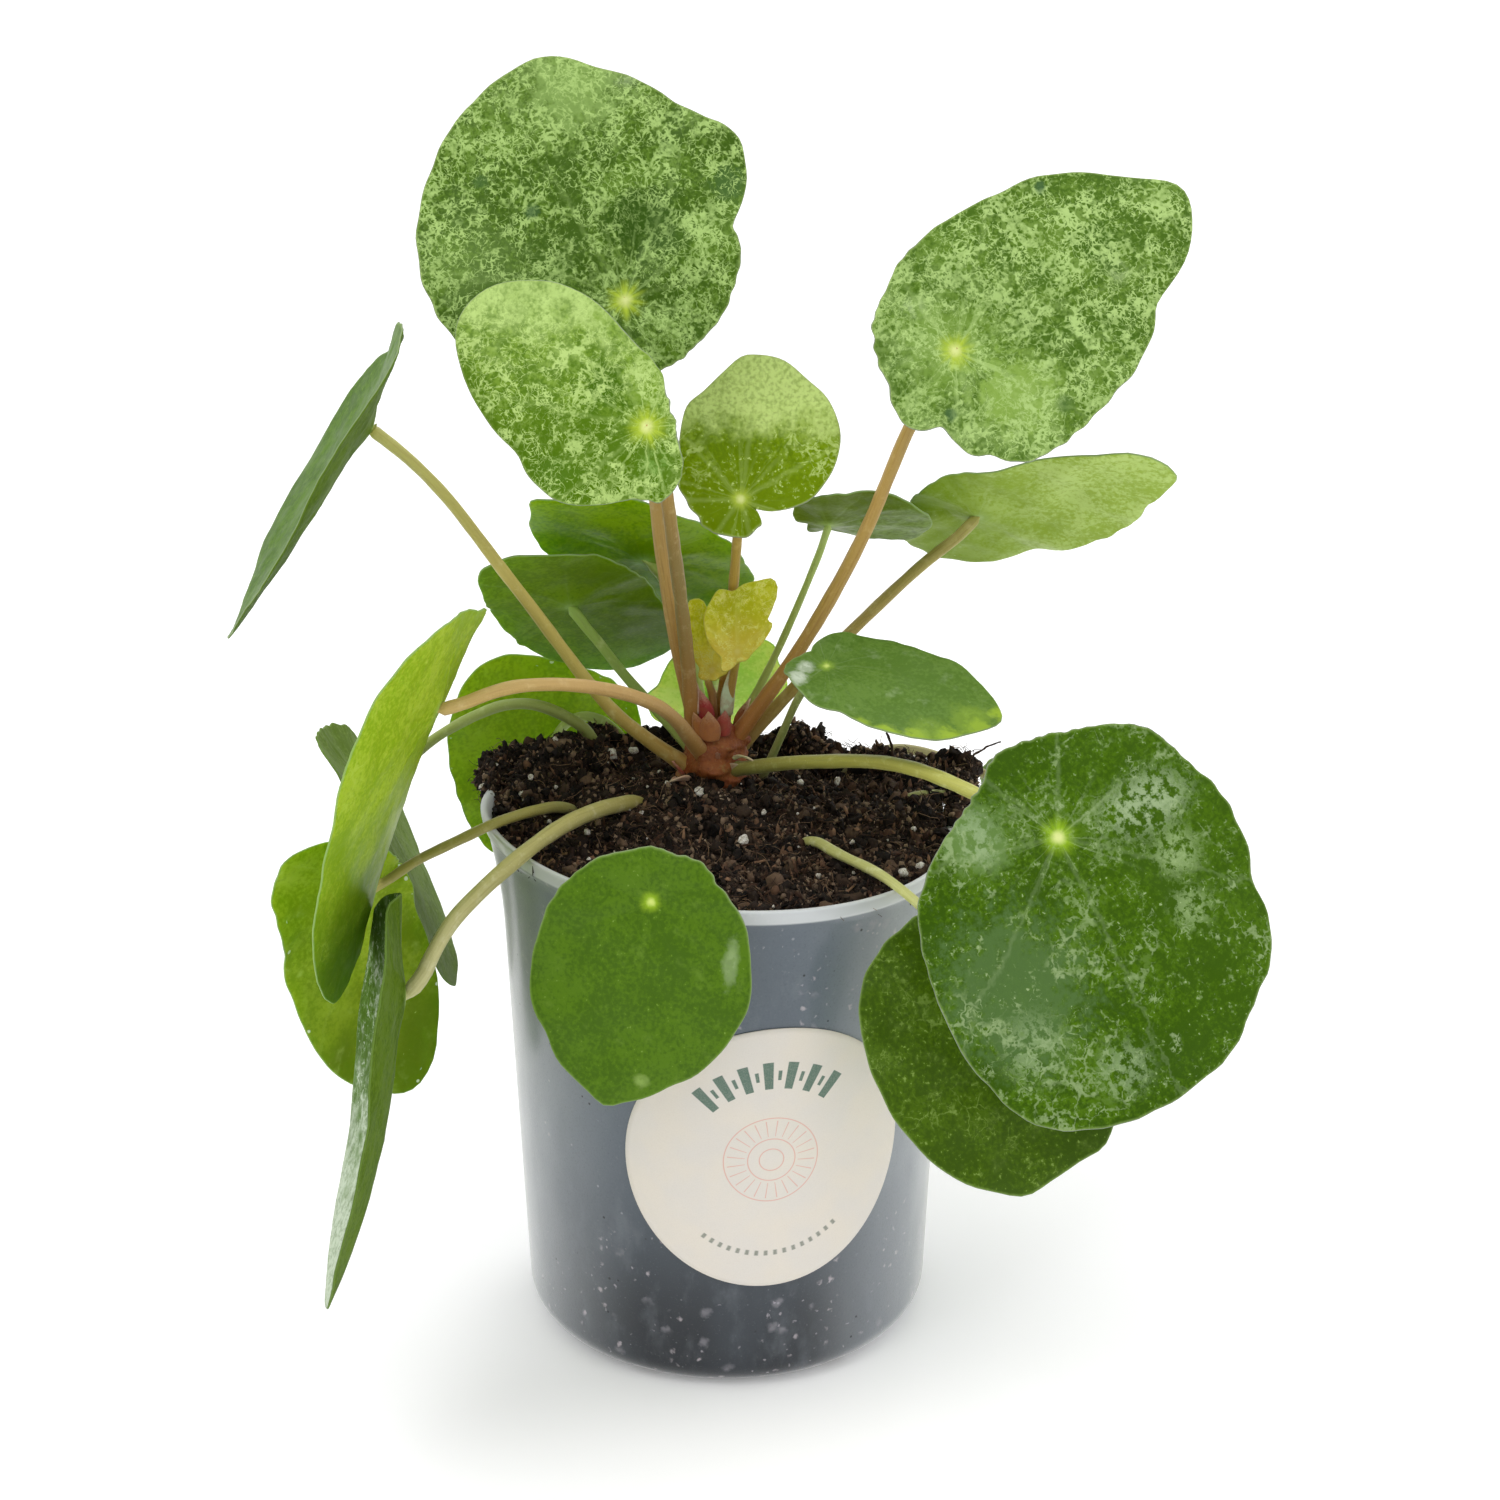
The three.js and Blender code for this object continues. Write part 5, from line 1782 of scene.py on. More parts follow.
@dataclass
class Crown:
    """The short woody stem with leaf scars, bud scales and papery stipules."""

    x: float = -3.0
    y: float = 16.0
    foot: float = 138.0
    top: float = 164.0
    radius: float = 7.4
    loops: int = 60
    sectors: int = 80
    knobs: tuple[Knob, ...] = (
        Knob(199.0, 149.5, 26.0, 4.0, 3.4), Knob(250.0, 153.8, 20.0, 4.8, 3.2),
        Knob(272.0, 150.0, 22.0, 6.0, 2.0), Knob(312.0, 149.5, 24.0, 4.0, 2.6),
        Knob(286.0, 156.0, 20.0, 5.0, 1.2), Knob(356.0, 156.0, 24.0, 4.0, 1.6),
        Knob(27.0, 151.5, 24.0, 4.0, 1.6), Knob(160.0, 157.0, 24.0, 5.0, 1.2))
    sheaths: tuple[Sheath, ...] = (
        Sheath((-4.7, 7.6, 160.6), (-4.4, 7.4, 169.0), 6.0, "B0703E", 0.6, 0.03, 0.25),
        Sheath((-6.1, 10.6, 163.4), (-6.5, 11.0, 173.6), 5.0, "A0282C", 0.9, 0.02, 0.35),
        Sheath((-8.4, 12.4, 167.0), (-8.0, 12.6, 178.4), 4.2, "D8B8A4", 0.5, 0.1),
        Sheath((1.4, 12.8, 166.0), (3.0, 12.4, 181.0), 5.6, "BECBA6", 0.7, -0.06),
        Sheath((0.0, 9.8, 161.2), (-0.2, 10.0, 168.2), 4.8, "A23A2C", 0.8, 0.02, 0.2),
        Sheath((2.2, 9.6, 154.6), (6.2, 8.0, 158.6), 2.0, "D6D6A4", 0.4, 0.7),
        Sheath((1.4, 8.6, 150.8), (5.4, 7.6, 154.0), 5.0, "B0A484", 0.5, 0.2),
        Sheath((-7.8, 9.8, 161.0), (-8.2, 9.4, 168.0), 4.8, "B4743E", 0.7, 0.04, 0.2),
        Sheath((4.0, 18.0, 158.0), (5.4, 18.6, 168.0), 5.2, "AE7046", 0.7, 0.1),
        Sheath((-3.0, 23.4, 158.0), (-3.0, 24.6, 168.0), 5.4, "A87448", 0.7, 0.1),
        Sheath((-12.4, 11.4, 150.0), (-13.6, 8.6, 154.6), 4.0, "B45A46", 0.5, 0.1, 0.3),
        Sheath((-10.6, 8.6, 148.6), (-14.4, 6.2, 151.0), 5.0, "DDB898", 0.5, 0.25),
        Sheath((-3.0, 8.4, 150.0), (-2.2, 7.0, 157.6), 6.4, "8E4C2E", 0.7, 0.02, 0.15))

    def build(self) -> None:
        """Builds the stem and its scales, and dresses them."""
        turns = even_turns(self.sectors)
        shares = np.linspace(0, 1, self.loops)
        points = [[self.x, self.y, self.top + 0.4]]
        for share in shares:
            z = self.top - share * (self.top - self.foot)
            dome = math.sqrt(1 - (1 - min(1.0, share * 3.2)) ** 2)
            flare = 1 + 0.2 * max(0.0, share - 0.5)
            scar = 0.35 * math.sin(share * 34)
            spots = circle(turns, 6.0, z)
            bumps = 0.55 * swell(spots, 12, 6.0) + 0.28 * swell(spots, 13, 2.2)
            for knob in self.knobs:
                bumps += knob.size * np.exp(-(off_turn(turns, knob.turn) / knob.spread) ** 2
                                            - ((z - knob.z) / knob.rise) ** 2)
            reach = (self.radius * flare + scar + bumps) * max(dome, 0.08)
            points.extend(circle(turns, reach, z) + np.array([self.x, self.y, 0.0]))
        points.append([self.x, self.y, self.foot - 0.4])
        stem = make_piece("crown_stem", np.array(points), shell_faces(self.loops, self.sectors),
                          [self.paint()])
        settle_in(stem, "crown", "crown")
        for number, sheath in enumerate(self.sheaths):
            self.build_sheath(number, sheath)

    def build_sheath(self, number: int, sheath: Sheath) -> None:
        """Builds one scale as a thin cupped shell.

        Args:
            number: its number on the crown.
            sheath: its place, size and colour.
        """
        foot, tip = np.array(sheath.foot), np.array(sheath.tip)
        axis = tip - foot
        length = float(np.linalg.norm(axis))
        axis /= length
        out = np.array([foot[0] - self.x, foot[1] - self.y, 0.0])
        out = unit(out - axis * (out @ axis))
        side = np.cross(axis, out)
        rows, columns, thick = 16, 13, 0.28
        grid = np.zeros((rows, columns, 3))
        for i in range(rows):
            t = i / (rows - 1)
            half = sheath.width / 2 * (1 - t ** 1.8) ** 0.7 * (0.85 + 0.3 * math.sin(math.pi * t))
            half = max(half, 0.12)
            for j in range(columns):
                w = 2 * j / (columns - 1) - 1
                cup = -sheath.cup * half * w * w
                curl = sheath.curl * length * t * t
                fray = 0.12 * math.sin(9 * w + 5 * t + number) * t
                grid[i, j] = (foot + axis * (t * length * (1 + 0.04 * math.sin(7 * w)))
                              + side * w * half + out * (cup + curl + fray))
        normals = unit(np.cross(np.gradient(grid, axis=0), np.gradient(grid, axis=1)))
        if (normals * out).sum() < 0:
            normals = -normals
        front, back = grid + normals * thick / 2, grid - normals * thick / 2
        points = np.vstack([front.reshape(-1, 3), back.reshape(-1, 3)])
        half_count, faces = rows * columns, []
        flip = bool(np.cross(grid[1, 0] - grid[0, 0], grid[0, 1] - grid[0, 0])
                    @ normals[0, 0] < 0)

        def face(a: int, b: int, c: int, d: int) -> None:
            """Adds a face, turned so that it points outwards."""
            faces.append((a, d, c, b) if flip else (a, b, c, d))

        for i in range(rows - 1):
            for j in range(columns - 1):
                a = i * columns + j
                b, c, d = a + columns, a + columns + 1, a + 1
                face(a, b, c, d)
                face(half_count + a, half_count + d, half_count + c, half_count + b)
        edge = ([i * columns for i in range(rows)]
                + [(rows - 1) * columns + j for j in range(1, columns)]
                + [i * columns + columns - 1 for i in range(rows - 2, -1, -1)]
                + [j for j in range(columns - 2, 0, -1)])
        for a, b in zip(edge, edge[1:] + edge[:1]):
            face(b, a, half_count + a, half_count + b)
        rise = np.tile(np.repeat(np.linspace(0, 1, rows), columns), 2)
        piece = make_piece(f"crown_scale_{number}", points, faces,
                           [self.paint_sheath(number, sheath)],
                           measures={"rise": rise})
        settle_in(piece, "crown")

    def paint(self) -> bpy.types.Material:
        """Makes the brick-brown skin of the stem, with green and dark scars.

        Returns:
            The material.
        """
        p = Paint("crown_skin", IOR=1.45)
        at = p.place()
        x, y, z = p.parts(at)
        broad, fine = p.cloud(at, 4.5, 3.0, 0.6), p.cloud(at, 0.7, 3.0, 0.6)
        streak = p.cloud(p.join(x, y, p.times(z, 0.3)), 1.6, 3.0, 0.6)
        p.ground("7A3810", "965424", p.ease(broad, 0.35, 0.65))
        p.coat("9E5A30", streak, 0.4, 0.7, 0.6)
        p.coat("A03A2E", z, 159.0, 166.0, 0.5)
        p.coat("A48A54", broad, 0.58, 0.75, 0.6)
        p.coat("B8845C", fine, 0.58, 0.8, 0.6)
        p.coat("5A2A1C", fine, 0.42, 0.25, 0.7)
        p.coat("4A2E20", z, 150.0, 145.0, 0.75)
        return p.finish(p.ease(fine, 0.3, 0.7, 0.45, 0.7), p.plus(fine, broad), 0.35)

    def paint_sheath(self, number: int, sheath: Sheath) -> bpy.types.Material:
        """Makes one scale's colour, paler and drier towards its tip.

        Args:
            number: its number on the crown.
            sheath: the scale.

        Returns:
            The material. It reads the measure rise.
        """
        p = Paint(f"crown_scale_{number}", IOR=1.45, Sheen_Weight=0.1, Sheen_Roughness=0.5)
        at, rise = p.place(), p.measure("rise")
        fine, broad = p.cloud(at, 0.5, 3.0, 0.65), p.cloud(at, 2.4)
        p.ground(sheath.colour, "9A5A3C", p.ease(broad, 0.4, 0.7, 0.0, 0.45))
        p.coat("E4CFB0", p.mad(fine, 0.6, rise), 0.85, 1.3, sheath.dry)
        p.coat("6A3A28", fine, 0.42, 0.25, 0.5)
        return p.finish(p.ease(fine, 0.3, 0.7, 0.45, 0.65), fine, 0.15)


# ---- studio -------------------------------------------------------------------

@dataclass
class Studio:
    """A plain pale floor, soft light, and the camera."""

    target: tuple[float, float, float] = (6.4, 0.0, 161.5)
    elevation: float = 23.5
    distance: float = 981.4
    lens: float = 90.1
    sensor: float = 36.0
    floor_half: float = 9000.0

    def build(self) -> None:
        """Builds the floor, the lights and the camera."""
        h = self.floor_half
        floor = make_piece("floor", np.array([(-h, -h, 0), (h, -h, 0), (h, h, 0), (-h, h, 0)]),
                           [(0, 1, 2, 3)], [self.paint_floor()])
        self.light("key", (-900, -500, 1500), 900, 6.5)
        self.light("fill", (1100, -900, 900), 900, 1.5)
        self.light("back", (600, 1200, 1200), 900, 5.0)
        self.surround()
        tilt = math.radians(self.elevation)
        back = np.array([0, -math.cos(tilt), math.sin(tilt)])
        camera = bpy.data.cameras.new("camera")
        camera.lens, camera.sensor_width, camera.clip_start = self.lens, self.sensor, 0.01
        view = linked("camera", camera)
        view.location = (np.array(self.target) + back * self.distance) * MM
        view.rotation_euler = (math.pi / 2 - tilt, 0, 0)
        bpy.context.scene.camera = view
        bpy.context.scene.view_settings.view_transform = "Standard"

    def light(self, name: str, spot: tuple[float, float, float], size: float,
              power: float) -> None:
        """Adds a large soft lamp that looks at the plant.

        Args:
            name: the lamp's name.
            spot: where it hangs, in millimetres.
            size: the length of its sides, in millimetres.
            power: its power in watts.
        """
        lamp = bpy.data.lights.new(name, "AREA")
        lamp.size, lamp.energy = size * MM, power
        holder = linked(name, lamp)
        holder.location = Vector(spot) * MM
        aim = Vector(self.target) * MM - holder.location
        holder.rotation_euler = aim.to_track_quat("-Z", "Y").to_euler()

    def surround(self) -> None:
        """Lights everything softly from a white surround that is dimmer at the front."""
        world = bpy.data.worlds.new("surround")
        world.use_nodes = True
        w = Wiring(world.node_tree)
        w.tree.nodes.clear()
        way = w.add("ShaderNodeTexCoord").outputs["Generated"]
        share = w.plus(w.ease(w.along(way, (0.0, 1.0, 0.0)), -1.0, 0.1, 0.52, 0.85),
                       w.ease(w.along(way, (0.0, 0.0, 1.0)), 0.25, 0.95, 0.0, 0.35))
        glow = w.add("ShaderNodeBackground", {0: WHITE, 1: share}).outputs[0]
        w.add("ShaderNodeOutputWorld", {0: glow})
        bpy.context.scene.world = world

    def paint_floor(self) -> bpy.types.Material:
        """Makes the pale matt floor."""
        p = Paint("pale_floor", IOR=1.4, Specular_IOR_Level=0.1, Emission_Strength=0.18)
        p.shader.inputs["Emission Color"].default_value = WHITE
        p.ground("F4F4F4", "F7F7F7", p.ease(p.cloud(p.place(), 300.0), 0.3, 0.7))
        return p.finish(0.9)


# ---- the plant ----------------------------------------------------------------

LACY = LeafFinish(deep="3C5C06", mid="5C7E22", pale="A9C874", lace=0.95, flecks=0.8, painted_sheen=-0.1,
                  drift=0.7, edge="8A8F8C")
PLAIN = LeafFinish(deep="426408", mid="52760E", pale="7E9E42", lace=0.08, flecks=0.5,
                   islands=0.1, rays=0.06, glow="9CC028", core="D4E47C", glow_radius=1.5,
                   veins=0.0, margin="8CAA56")
UNDER = LeafFinish(deep="567612", mid="6A8C24", pale="9CB868", lace=0.0, flecks=0.15,
                   islands=0.0, rays=0.12, glow="9CBA60", core="B4CC84", glow_radius=2.4,
                   veins=0.05, rough=0.42, margin="90AC62", margin_width=0.4, edge="8CA868")
TAN = StalkFinish("AC7A3C", "C6A058", "C09850", "96703C", "DEC68E", 0.5)
GREEN = StalkFinish("98A050", "A6BA5E", "B4CC6C", "84944C", "D6E29E", 0.35)


def leaf_looks() -> dict[str, LeafLook]:
    """Lists the look of every leaf by its name.

    Returns:
        The looks, in the order in which the leaves are built.
    """
    young = replace(
        LACY, gloss=0.08, deep="5E7C00", mid="7C9A06", pale="D0E68C", lace=0.5, flecks=0.9,
        painted_sheen=0.1, drift=2.6, tint="708A00", tinted=0.8, glow="BCD048", glow_radius=1.9,
        margin="B4C478", rays=0.15)
    # painted light: the bud finish's colours are raised above a leaf's own, against the shade at
    # the crown, besides its through share
    bud = replace(
        LACY, deep="B4B210", mid="CAC834", pale="DEDA78", lace=0.8, painted_sheen=0.0, through=0.25,
        drift=0.0, tint="DCB850", tinted=0.6, glow="CCB848", core="D4C468", glow_radius=1.5,
        rays=0.3, margin="C8C048", margin_width=0.4, edge="BCB450", matrix=1.0)
    large = replace(
        LACY, gloss=0.1, deep="345400", mid="4C7006", pale="A2B884", lace=0.44, flecks=0.6,
        painted_sheen=-0.5, drift=0.6, lean=(-0.8, -0.5), tint="44660A", tinted=0.3, margin="94AE62",
        glow="9CC424", rays=0.35, matrix=2.4,
        stains_and_shade=(Patch(28.0, -26.0, 20.0, "54733C", 0.85), Patch(-8.0, -18.0, 10.0, "6A8A48", 0.8)),
        patches=(
            Patch(2.0, 23.0, 9.0, "A9BE92", 0.75, 0.6, solid=0.0),
            Patch(16.0, 25.0, 8.0, "9CB67A", 0.7, solid=0.0),
            Patch(30.0, 22.0, 7.0, "9CB67A", 0.6, solid=0.0),
            Patch(-9.0, -18.0, 10.0, "98B082", 0.65, 1.6, solid=0.0),
            Patch(44.0, -28.0, 11.0, "94AC7C", 0.6, solid=0.0),
            Patch(58.0, -10.0, 9.0, "94AC7C", 0.6, solid=0.0)))
    low = replace(
        PLAIN, deep="3A5600", mid="4B6A04", pale="86A24C", lace=0.42, flecks=0.9, matrix=1.4)
    rounded = replace(
        PLAIN, rays=0.1, deep="557626", mid="648434", pale="C0D0A8", lace=0.0, flecks=0.1,
        tint="94B02C", tinted=0.0, glow="94B440", margin_width=0.5,
        patches=(
            Patch(-4.5, -3.5, 2.2, "D2DCC8", 0.9, 0.7, solid=0.6),
            Patch(-4.0, -9.0, 2.8, "D2DCC8", 0.9, 0.8, solid=0.8),
            Patch(18.0, -19.5, 3.2, "94B034", 0.9, 1.0, solid=0.9),
            Patch(25.0, -18.5, 3.4, "9CB834", 0.95, 1.0, solid=0.9),
            Patch(32.0, -15.8, 3.6, "9CB834", 0.95, 1.0, solid=0.9),
            Patch(39.0, -11.0, 3.8, "A0BC34", 0.95, 1.0, solid=0.9),
            Patch(44.5, -4.0, 3.6, "A0BC34", 0.95, 1.0, solid=0.9),
            Patch(41.0, -2.0, 6.0, "8CAA3A", 0.7, 1.0, solid=0.7),
            Patch(34.0, -12.0, 6.0, "8CAA3A", 0.6, 1.0, solid=0.6),
            Patch(46.5, 4.0, 3.0, "9CB834", 0.9, 1.0, solid=0.9)))
    front = replace(
        PLAIN, rays=0.05, glow_radius=1.8,
        patches=(
            Patch(12.5, 21.5, 6.4, "9AB07C", 0.7, 3.0, solid=0.7),
            Patch(46.0, 3.5, 2.2, "8EAA56", 0.8, solid=0.7)))
    # painted light: colours raised above a leaf's own, for the light that shines through these
    # shaded undersides, besides the through share
    dark_under = replace(
        UNDER, deep="7A9C00", mid="94B40C", pale="A8C03C", tint="607E06", tinted=0.5, through=0.3)
    light_under = replace(UNDER, deep="8EA81A", mid="A8BE2E", pale="C8DA74", through=0.25)
    bright = replace(
        UNDER, deep="8AA818", mid="A4BC30", through=0.2, pale="B4C852", lace=0.35, tint="5E7E0A",
        tinted=0.6, matrix=1.2)
    twig = StalkFinish("98985A", "AAA254", "B0A858", "887E44", "D0C890", 0.4)
    return {
        "top_left": LeafLook(
            replace(
                LACY,
                # the darkest patches, near (16, -14) and (7, -18), lie along the valley fold: a
                # darker, less lacy tone and painted shade
                stains_and_shade=(
                    Patch(16.0, -14.0, 9.5, "305200", 0.95),
                    Patch(7.0, -18.0, 6.0, "365800", 0.8), Patch(17.0, 11.0, 8.0, "3E6208", 0.5),
                    Patch(8.0, -34.0, 8.0, "507020", 0.6), Patch(13.5, -38.0, 5.0, "44662C", 0.8),
                    Patch(54.0, -15.0, 13.0, "8CAC5A", 0.7),
                    Patch(26.0, 28.0, 14.0, "7C9C50", 0.3)),
                # the first patch darkens the valley fold again, over the network: painted shade
                patches=(
                    Patch(16.0, -14.0, 8.0, "345600", 0.55, solid=0.8),
                    Patch(31.5, 9.2, 2.2, "3E6034", 0.85, solid=0.8),
                    Patch(45.0, 16.3, 2.2, "41642E", 0.7, solid=0.8),
                    Patch(52.0, -30.0, 5.0, "A9BE8C", 0.45))), UNDER, TAN,
            lobes=(Lobe(-84, 7, -5.0), Lobe(-63, 9, 3.2), Lobe(-14, 9, 2.6), Lobe(15, 32, 1.9)),
            folds=(Fold(-42, 2.2, 5.0), Fold(-84, -1.6, 5.0), Fold(30, 1.2, 9.0))),
        "upper_front": LeafLook(
            replace(
                LACY, gloss=0.1, deep="587C1A", mid="7EA036", pale="BAD67E", drift=1.6,
                tint="4E7200", tinted=0.95,
                # the two dark patches lie near the folds: a darker tone and painted shade
                stains_and_shade=(
                    Patch(12.0, -8.0, 6.5, "466C06", 0.95), Patch(21.0, 18.0, 8.0, "4E7408", 0.8)),
                patches=(Patch(-4.0, 9.0, 5.0, "6C963A", 0.7),)), UNDER,
            replace(TAN, middle="8E7A44"),
            lobes=(Lobe(-105, 8, -1.2), Lobe(30, 6, 1.2), Lobe(-150, 30, -0.8)),
            folds=(Fold(-40, 1.4, 3.5), Fold(30, 0.8, 5.0)), lean=(-2.6, 0.6, 0.0)),
        "top_right": LeafLook(
            replace(
                LACY, deep="45680E", mid="64862A", pale="B0CE7C", painted_sheen=0.05, drift=0.5,
                lean=(-0.4, -0.7), matrix=2.6,
                stains_and_shade=(
                    Patch(45.0, 10.0, 7.0, "42660E", 0.9), Patch(28.0, 8.0, 5.0, "466A12", 0.8),
                    Patch(-2.0, 2.0, 13.0, "7C9E40", 0.7), Patch(9.0, -17.0, 12.0, "8EB04C", 0.8)),
                patches=(
                    Patch(39.5, 30.0, 2.0, "41643A", 0.8, solid=0.9),
                    Patch(-8.5, -14.4, 1.8, "41643A", 0.8, solid=0.9),
                    Patch(19.5, -23.7, 2.6, "4A6C30", 0.7, solid=0.8),
                    Patch(48.0, 2.0, 3.6, "A9C084", 0.5), Patch(-5.0, 14.0, 3.6, "AFC888", 0.5))),
            UNDER, StalkFinish("A86C34", "B8964A", "B4944E", "946832", "DABC7C", 0.5),
            lobes=(
                Lobe(-9, 6, -4.6), Lobe(13, 7, 5.8), Lobe(36, 8, 1.2), Lobe(-30, 7, 1.6),
                Lobe(-124, 11, -4.0), Lobe(-98, 8, -1.6)),
            folds=(Fold(-4, 1.2, 5.0), Fold(40, 0.9, 6.0), Fold(-50, 0.9, 6.0))),
        "upper_small": LeafLook(
            young, UNDER, StalkFinish("A07438", "B4943A", "B89C42", "906E32", "DEC076", 0.4),
            lobes=(
                Lobe(-112, 5, -2.0), Lobe(-130, 8, 1.2), Lobe(38, 8, 1.6), Lobe(9, 6, 1.4),
                Lobe(-20, 8, -1.0), Lobe(110, 10, 0.8))),
        "right_flat": LeafLook(
            PLAIN,
            # painted light: the underside's colours are raised for the light behind it, which
            # shines through
            replace(
                UNDER, deep="A0BC4A", mid="BED878", pale="D0E49C", tint="86A424", tinted=0.8,
                lean=(1.0, 0.3), gloss=0.1),
            StalkFinish("9A7C40", "B09A50", "ACA456", "866E3E", "D0C486", 0.5),
            lobes=(Lobe(-52, 6, -1.8), Lobe(16, 10, -1.0), Lobe(70, 14, 2.6), Lobe(-92, 12, 1.6)),
            folds=(Fold(-30, -2.6, 14.0, 30.0, 200.0),)),
        "right_small": LeafLook(
            PLAIN,
            replace(
                UNDER, deep="628012", mid="7A9836", pale="92AE54", tint="5E7208", tinted=0.6,
                lean=(0.6, -0.7), gloss=0.1), GREEN, lobes=(Lobe(175, 38, -4.0),)),
        "far_left": LeafLook(
            PLAIN,
            replace(
                UNDER, deep="4A640C", mid="587316", pale="94A86C", painted_sheen=-0.5, drift=1.2,
                lean=(-0.4, -0.9), edge="5E7A28", margin="6A8634", gloss=0.05, rough=0.6),
            StalkFinish("B08E48", "BEAC54", "C6C26C", "9A8640", "E2DA98", 0.4),
            lobes=(Lobe(0, 12, 3.2),), folds=(Fold(180, -5.4, 18.0, 26.0, 200.0),), ripple=0.2),
        "left_bright": LeafLook(
            bright, bright, StalkFinish("A87A3C", "C8A264", "CEB06A", "A88044", "E8D29A", 0.4),
            lobes=(Lobe(-152, 10, -2.4), Lobe(68, 8, 2.5)), ripple=0.15, scallop=0.15),
        "left_hanging": LeafLook(
            replace(
                PLAIN, deep="4C661A", mid="5C7626", pale="8CA25C", edge="5C7830", margin="6E8A40",
                gloss=0.05, rough=0.6),
            replace(UNDER, deep="5A7224", mid="6A8234", edge="5C7830", gloss=0.05, rough=0.6),
            StalkFinish("949A50", "9CAC54", "A0B058", "80904A", "C8D490", 0.3), Foot.SOIL,
            folds=(Fold(150, -2.5, 16.0, 22.0, 200.0),), ripple=0.15),
        "left_low_rear": LeafLook(
            replace(PLAIN, mid="60801A"),
            replace(light_under, dots=1.0, tint="5E7600", tinted=0.9, lean=(-0.5, 0.85)), twig,
            Foot.SOIL,
            lobes=(Lobe(22, 28, -1.6), Lobe(104, 11, 3.4), Lobe(134, 8, -1.5),
                   Lobe(-50, 22, -2.4))),
        "left_low_folded": LeafLook(
            replace(
                LACY, deep="46641A", mid="5E7E3A", pale="C8D4BE", lace=0.56, flecks=0.8,
                painted_sheen=0.05, drift=1.7, lean=(0.0, -1.0), edge="5C7430", margin="6A8240",
                gloss=0.06, rough=0.6),
            replace(UNDER, deep="4C680A", mid="5E7A1A", edge="5C7830", gloss=0.06, rough=0.6),
            StalkFinish("A0944C", "BCB46C", "CCC88E", "908644", "E6E2B8", 0.4), Foot.SOIL,
            folds=(Fold(0, 2.3, 25.0, 70.0, 300.0),), ripple=0.12, scallop=0.1),
        "front": LeafLook(
            front, UNDER, GREEN, Foot.SOIL,
            lobes=(
                Lobe(-5, 4, 2.2), Lobe(13, 6, -2.0), Lobe(-30, 6, -1.6), Lobe(52, 12, 0.8),
                Lobe(110, 18, -1.2))),
        "right_large": LeafLook(
            large, UNDER, StalkFinish("807C38", "B0AC4E", "D8D872", "888440", "E8ECA4", 0.4),
            Foot.SOIL,
            lobes=(
                Lobe(24, 6, -1.6), Lobe(52, 5, -2.4), Lobe(115, 16, 1.8), Lobe(-170, 12, 1.2),
                Lobe(38, 5, 0.8), Lobe(80, 8, 0.8)),
            folds=(Fold(-12, 1.0, 6.0), Fold(160, 0.7, 4.0), Fold(60, 0.8, 7.0)), ripple=0.5),
        "right_low": LeafLook(
            low, UNDER, StalkFinish("A09E58", "C2C276", "E0E28E", "9A9C58", "F0F2C4", 0.3),
            Foot.SOIL, lobes=(Lobe(0, 6, 1.4), Lobe(22, 5, 1.4)), ripple=0.5),
        "right_round": LeafLook(
            rounded, UNDER, replace(GREEN, foot="76724C", middle="98A05C"),
            lobes=(
                Lobe(1, 7, 3.0), Lobe(20, 9, -2.2), Lobe(42, 14, -3.6), Lobe(74, 16, -2.0),
                Lobe(-20, 8, 0.8), Lobe(-55, 8, -1.2), Lobe(158, 24, -3.0)), ripple=0.25),
        "rear_upper": LeafLook(PLAIN, dark_under, GREEN, lobes=(Lobe(-47, 6, 4.0),), ripple=0.2),
        "rear_left": LeafLook(
            PLAIN,
            replace(
                dark_under, deep="64860E", mid="7A9C1C", pale="A2BC78", painted_sheen=-0.4, drift=0.9,
                lean=(-0.9, -0.3), glow="8CB04C"), replace(GREEN, middle="98B454", top="A2C45A"),
            lobes=(Lobe(76, 12, -1.6), Lobe(160, 12, 2.6)), ripple=0.2),
        "rear_low": LeafLook(
            PLAIN, replace(light_under, deep="88A412", mid="A2BC1C", pale="C0D858", dots=1.0),
            GREEN, Foot.SOIL, lobes=(Lobe(-90, 30, -1.4), Lobe(-12, 16, 4.0)), ripple=0.2),
        "rear_centre": LeafLook(
            # painted light: the underside's colours are raised above a leaf's own, for the light
            # that shines through it, besides its through share
            PLAIN, replace(light_under, deep="CCE67A", mid="E2F492", through=0.6), GREEN,
            lobes=(Lobe(-60, 34, -4.8), Lobe(48, 16, 6.0), Lobe(116, 14, -4.0)), ripple=0.2),
        "rear_right": LeafLook(
            PLAIN, UNDER, StalkFinish("8C8458", "A09860", "A49C62", "787050", "C6C096", 0.5),
            Foot.SOIL),
        "rear_right_low": LeafLook(
            PLAIN, UNDER, StalkFinish("84824C", "9C9E60", "A4AA70", "7A7C4A", "BCC094", 0.5),
            Foot.SOIL),
        "young": LeafLook(
            bud, bud, StalkFinish("9E5C2C", "AC8844", "B4983C", "885834", "DCBC78", 0.4),
            lobes=(
                Lobe(-42, 7, -4.2), Lobe(18, 7, 1.2), Lobe(4, 6, -1.0), Lobe(-24, 6, 1.0),
                Lobe(146, 20, 3.4)), ripple=0.45),
        "bud": LeafLook(
            # painted light: a lighter copy of the bud finish for this leaf's upper face, against
            # the shade at the crown
            replace(bud, deep="C4C01C", mid="DEDA42"), bud,
            StalkFinish("A85C34", "B4844A", "B8A04A", "8E5832", "DCB87C", 0.4),
            lobes=(Lobe(19, 7, 2.4), Lobe(-8, 7, -4.0), Lobe(30, 6, -1.2), Lobe(120, 30, 1.2)),
            ripple=0.3),
    }


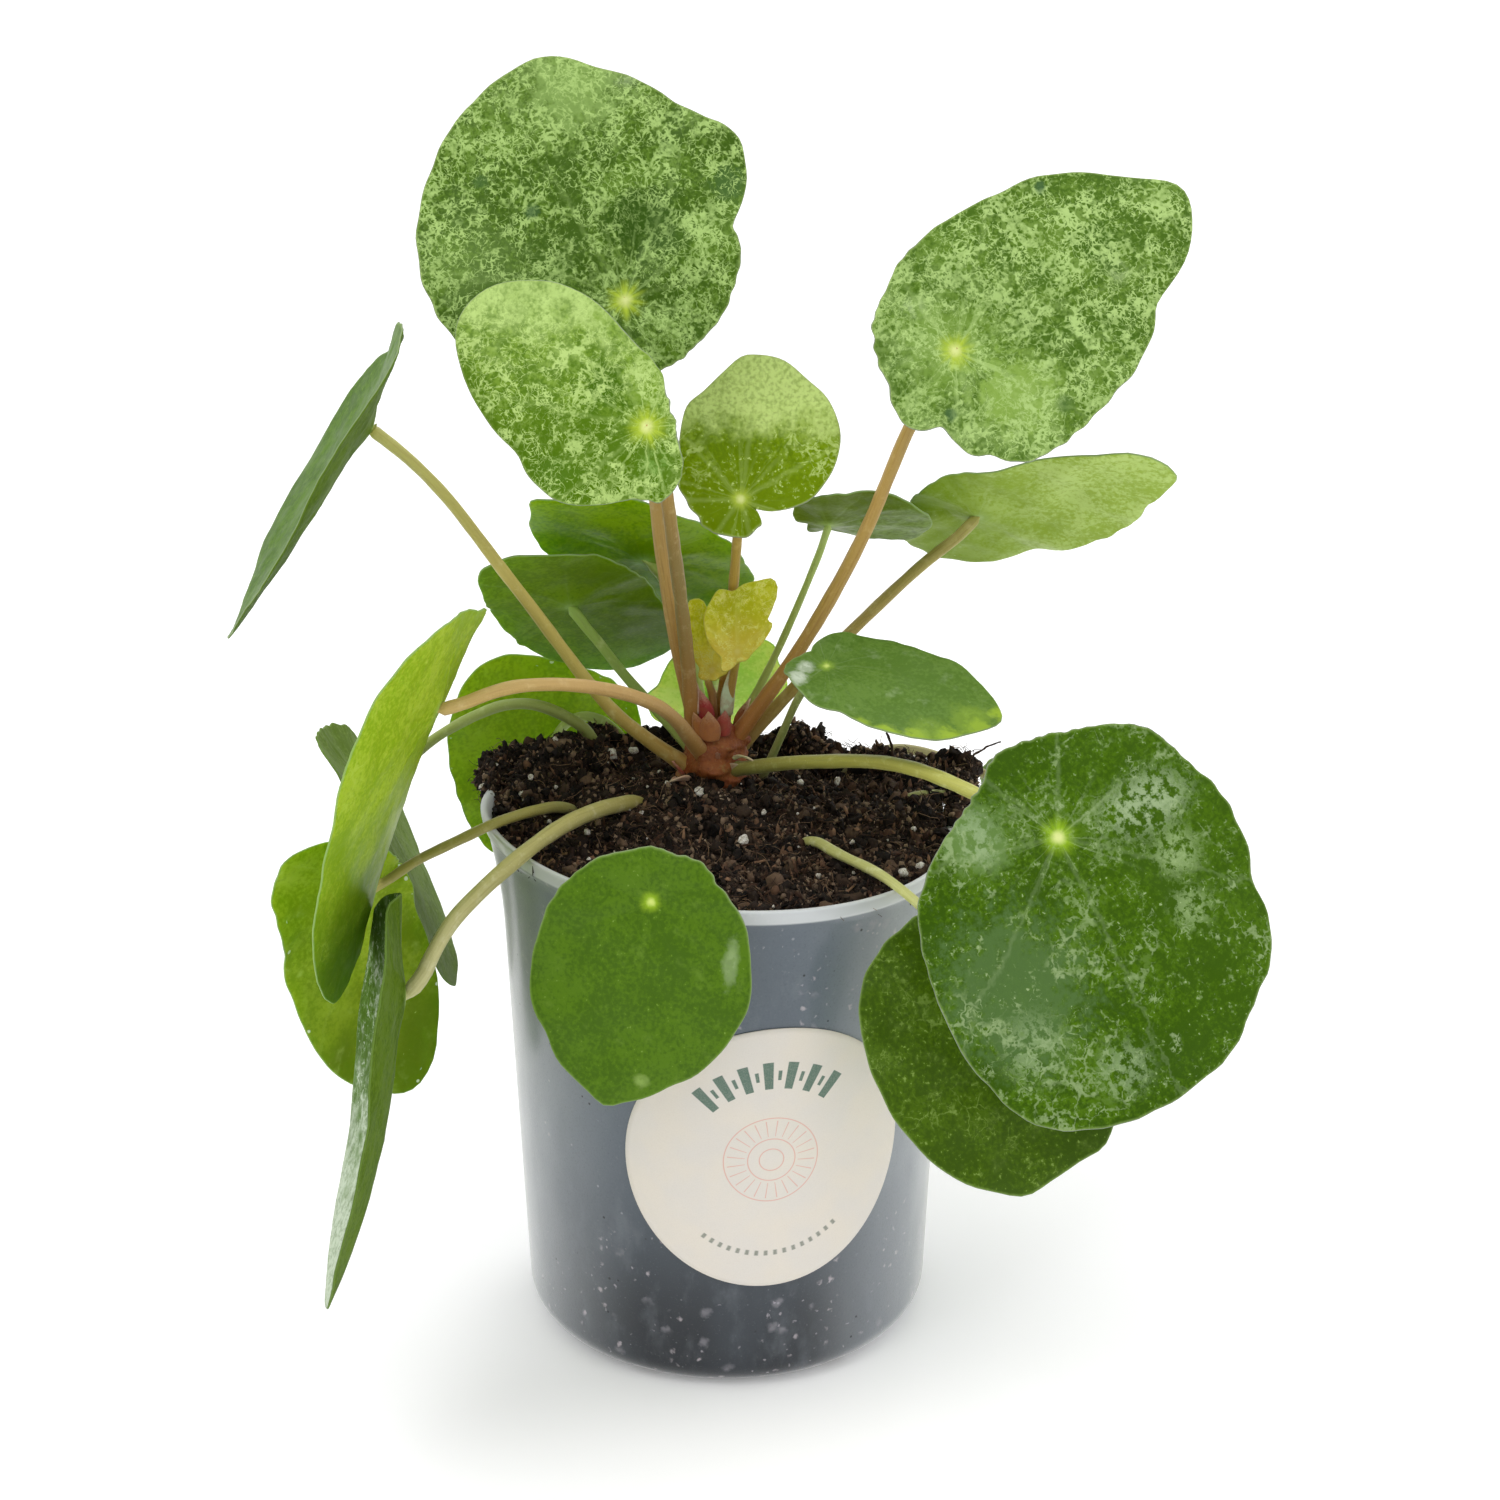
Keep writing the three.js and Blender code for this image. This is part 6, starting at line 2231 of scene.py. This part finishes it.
def main() -> None:
    """Builds every part of the plant in order, then the studio."""
    logging.basicConfig(level=logging.INFO, format="%(name)s: %(message)s")
    pot = Pot()
    pot.build()
    Label().build(pot)
    stalks = stalk_recipe()
    Soil().build(pot, crumb_recipe(), fibre_recipe(), stalks)
    Crown().build()
    for number, (name, look) in enumerate(leaf_looks().items()):
        slot = "young_blade" if name in ("young", "bud") else "blade"
        Leaf(name, 3 + 7 * number, look, stalks, slot).build()
    Studio().build()


if __name__ == "__main__":
    main()
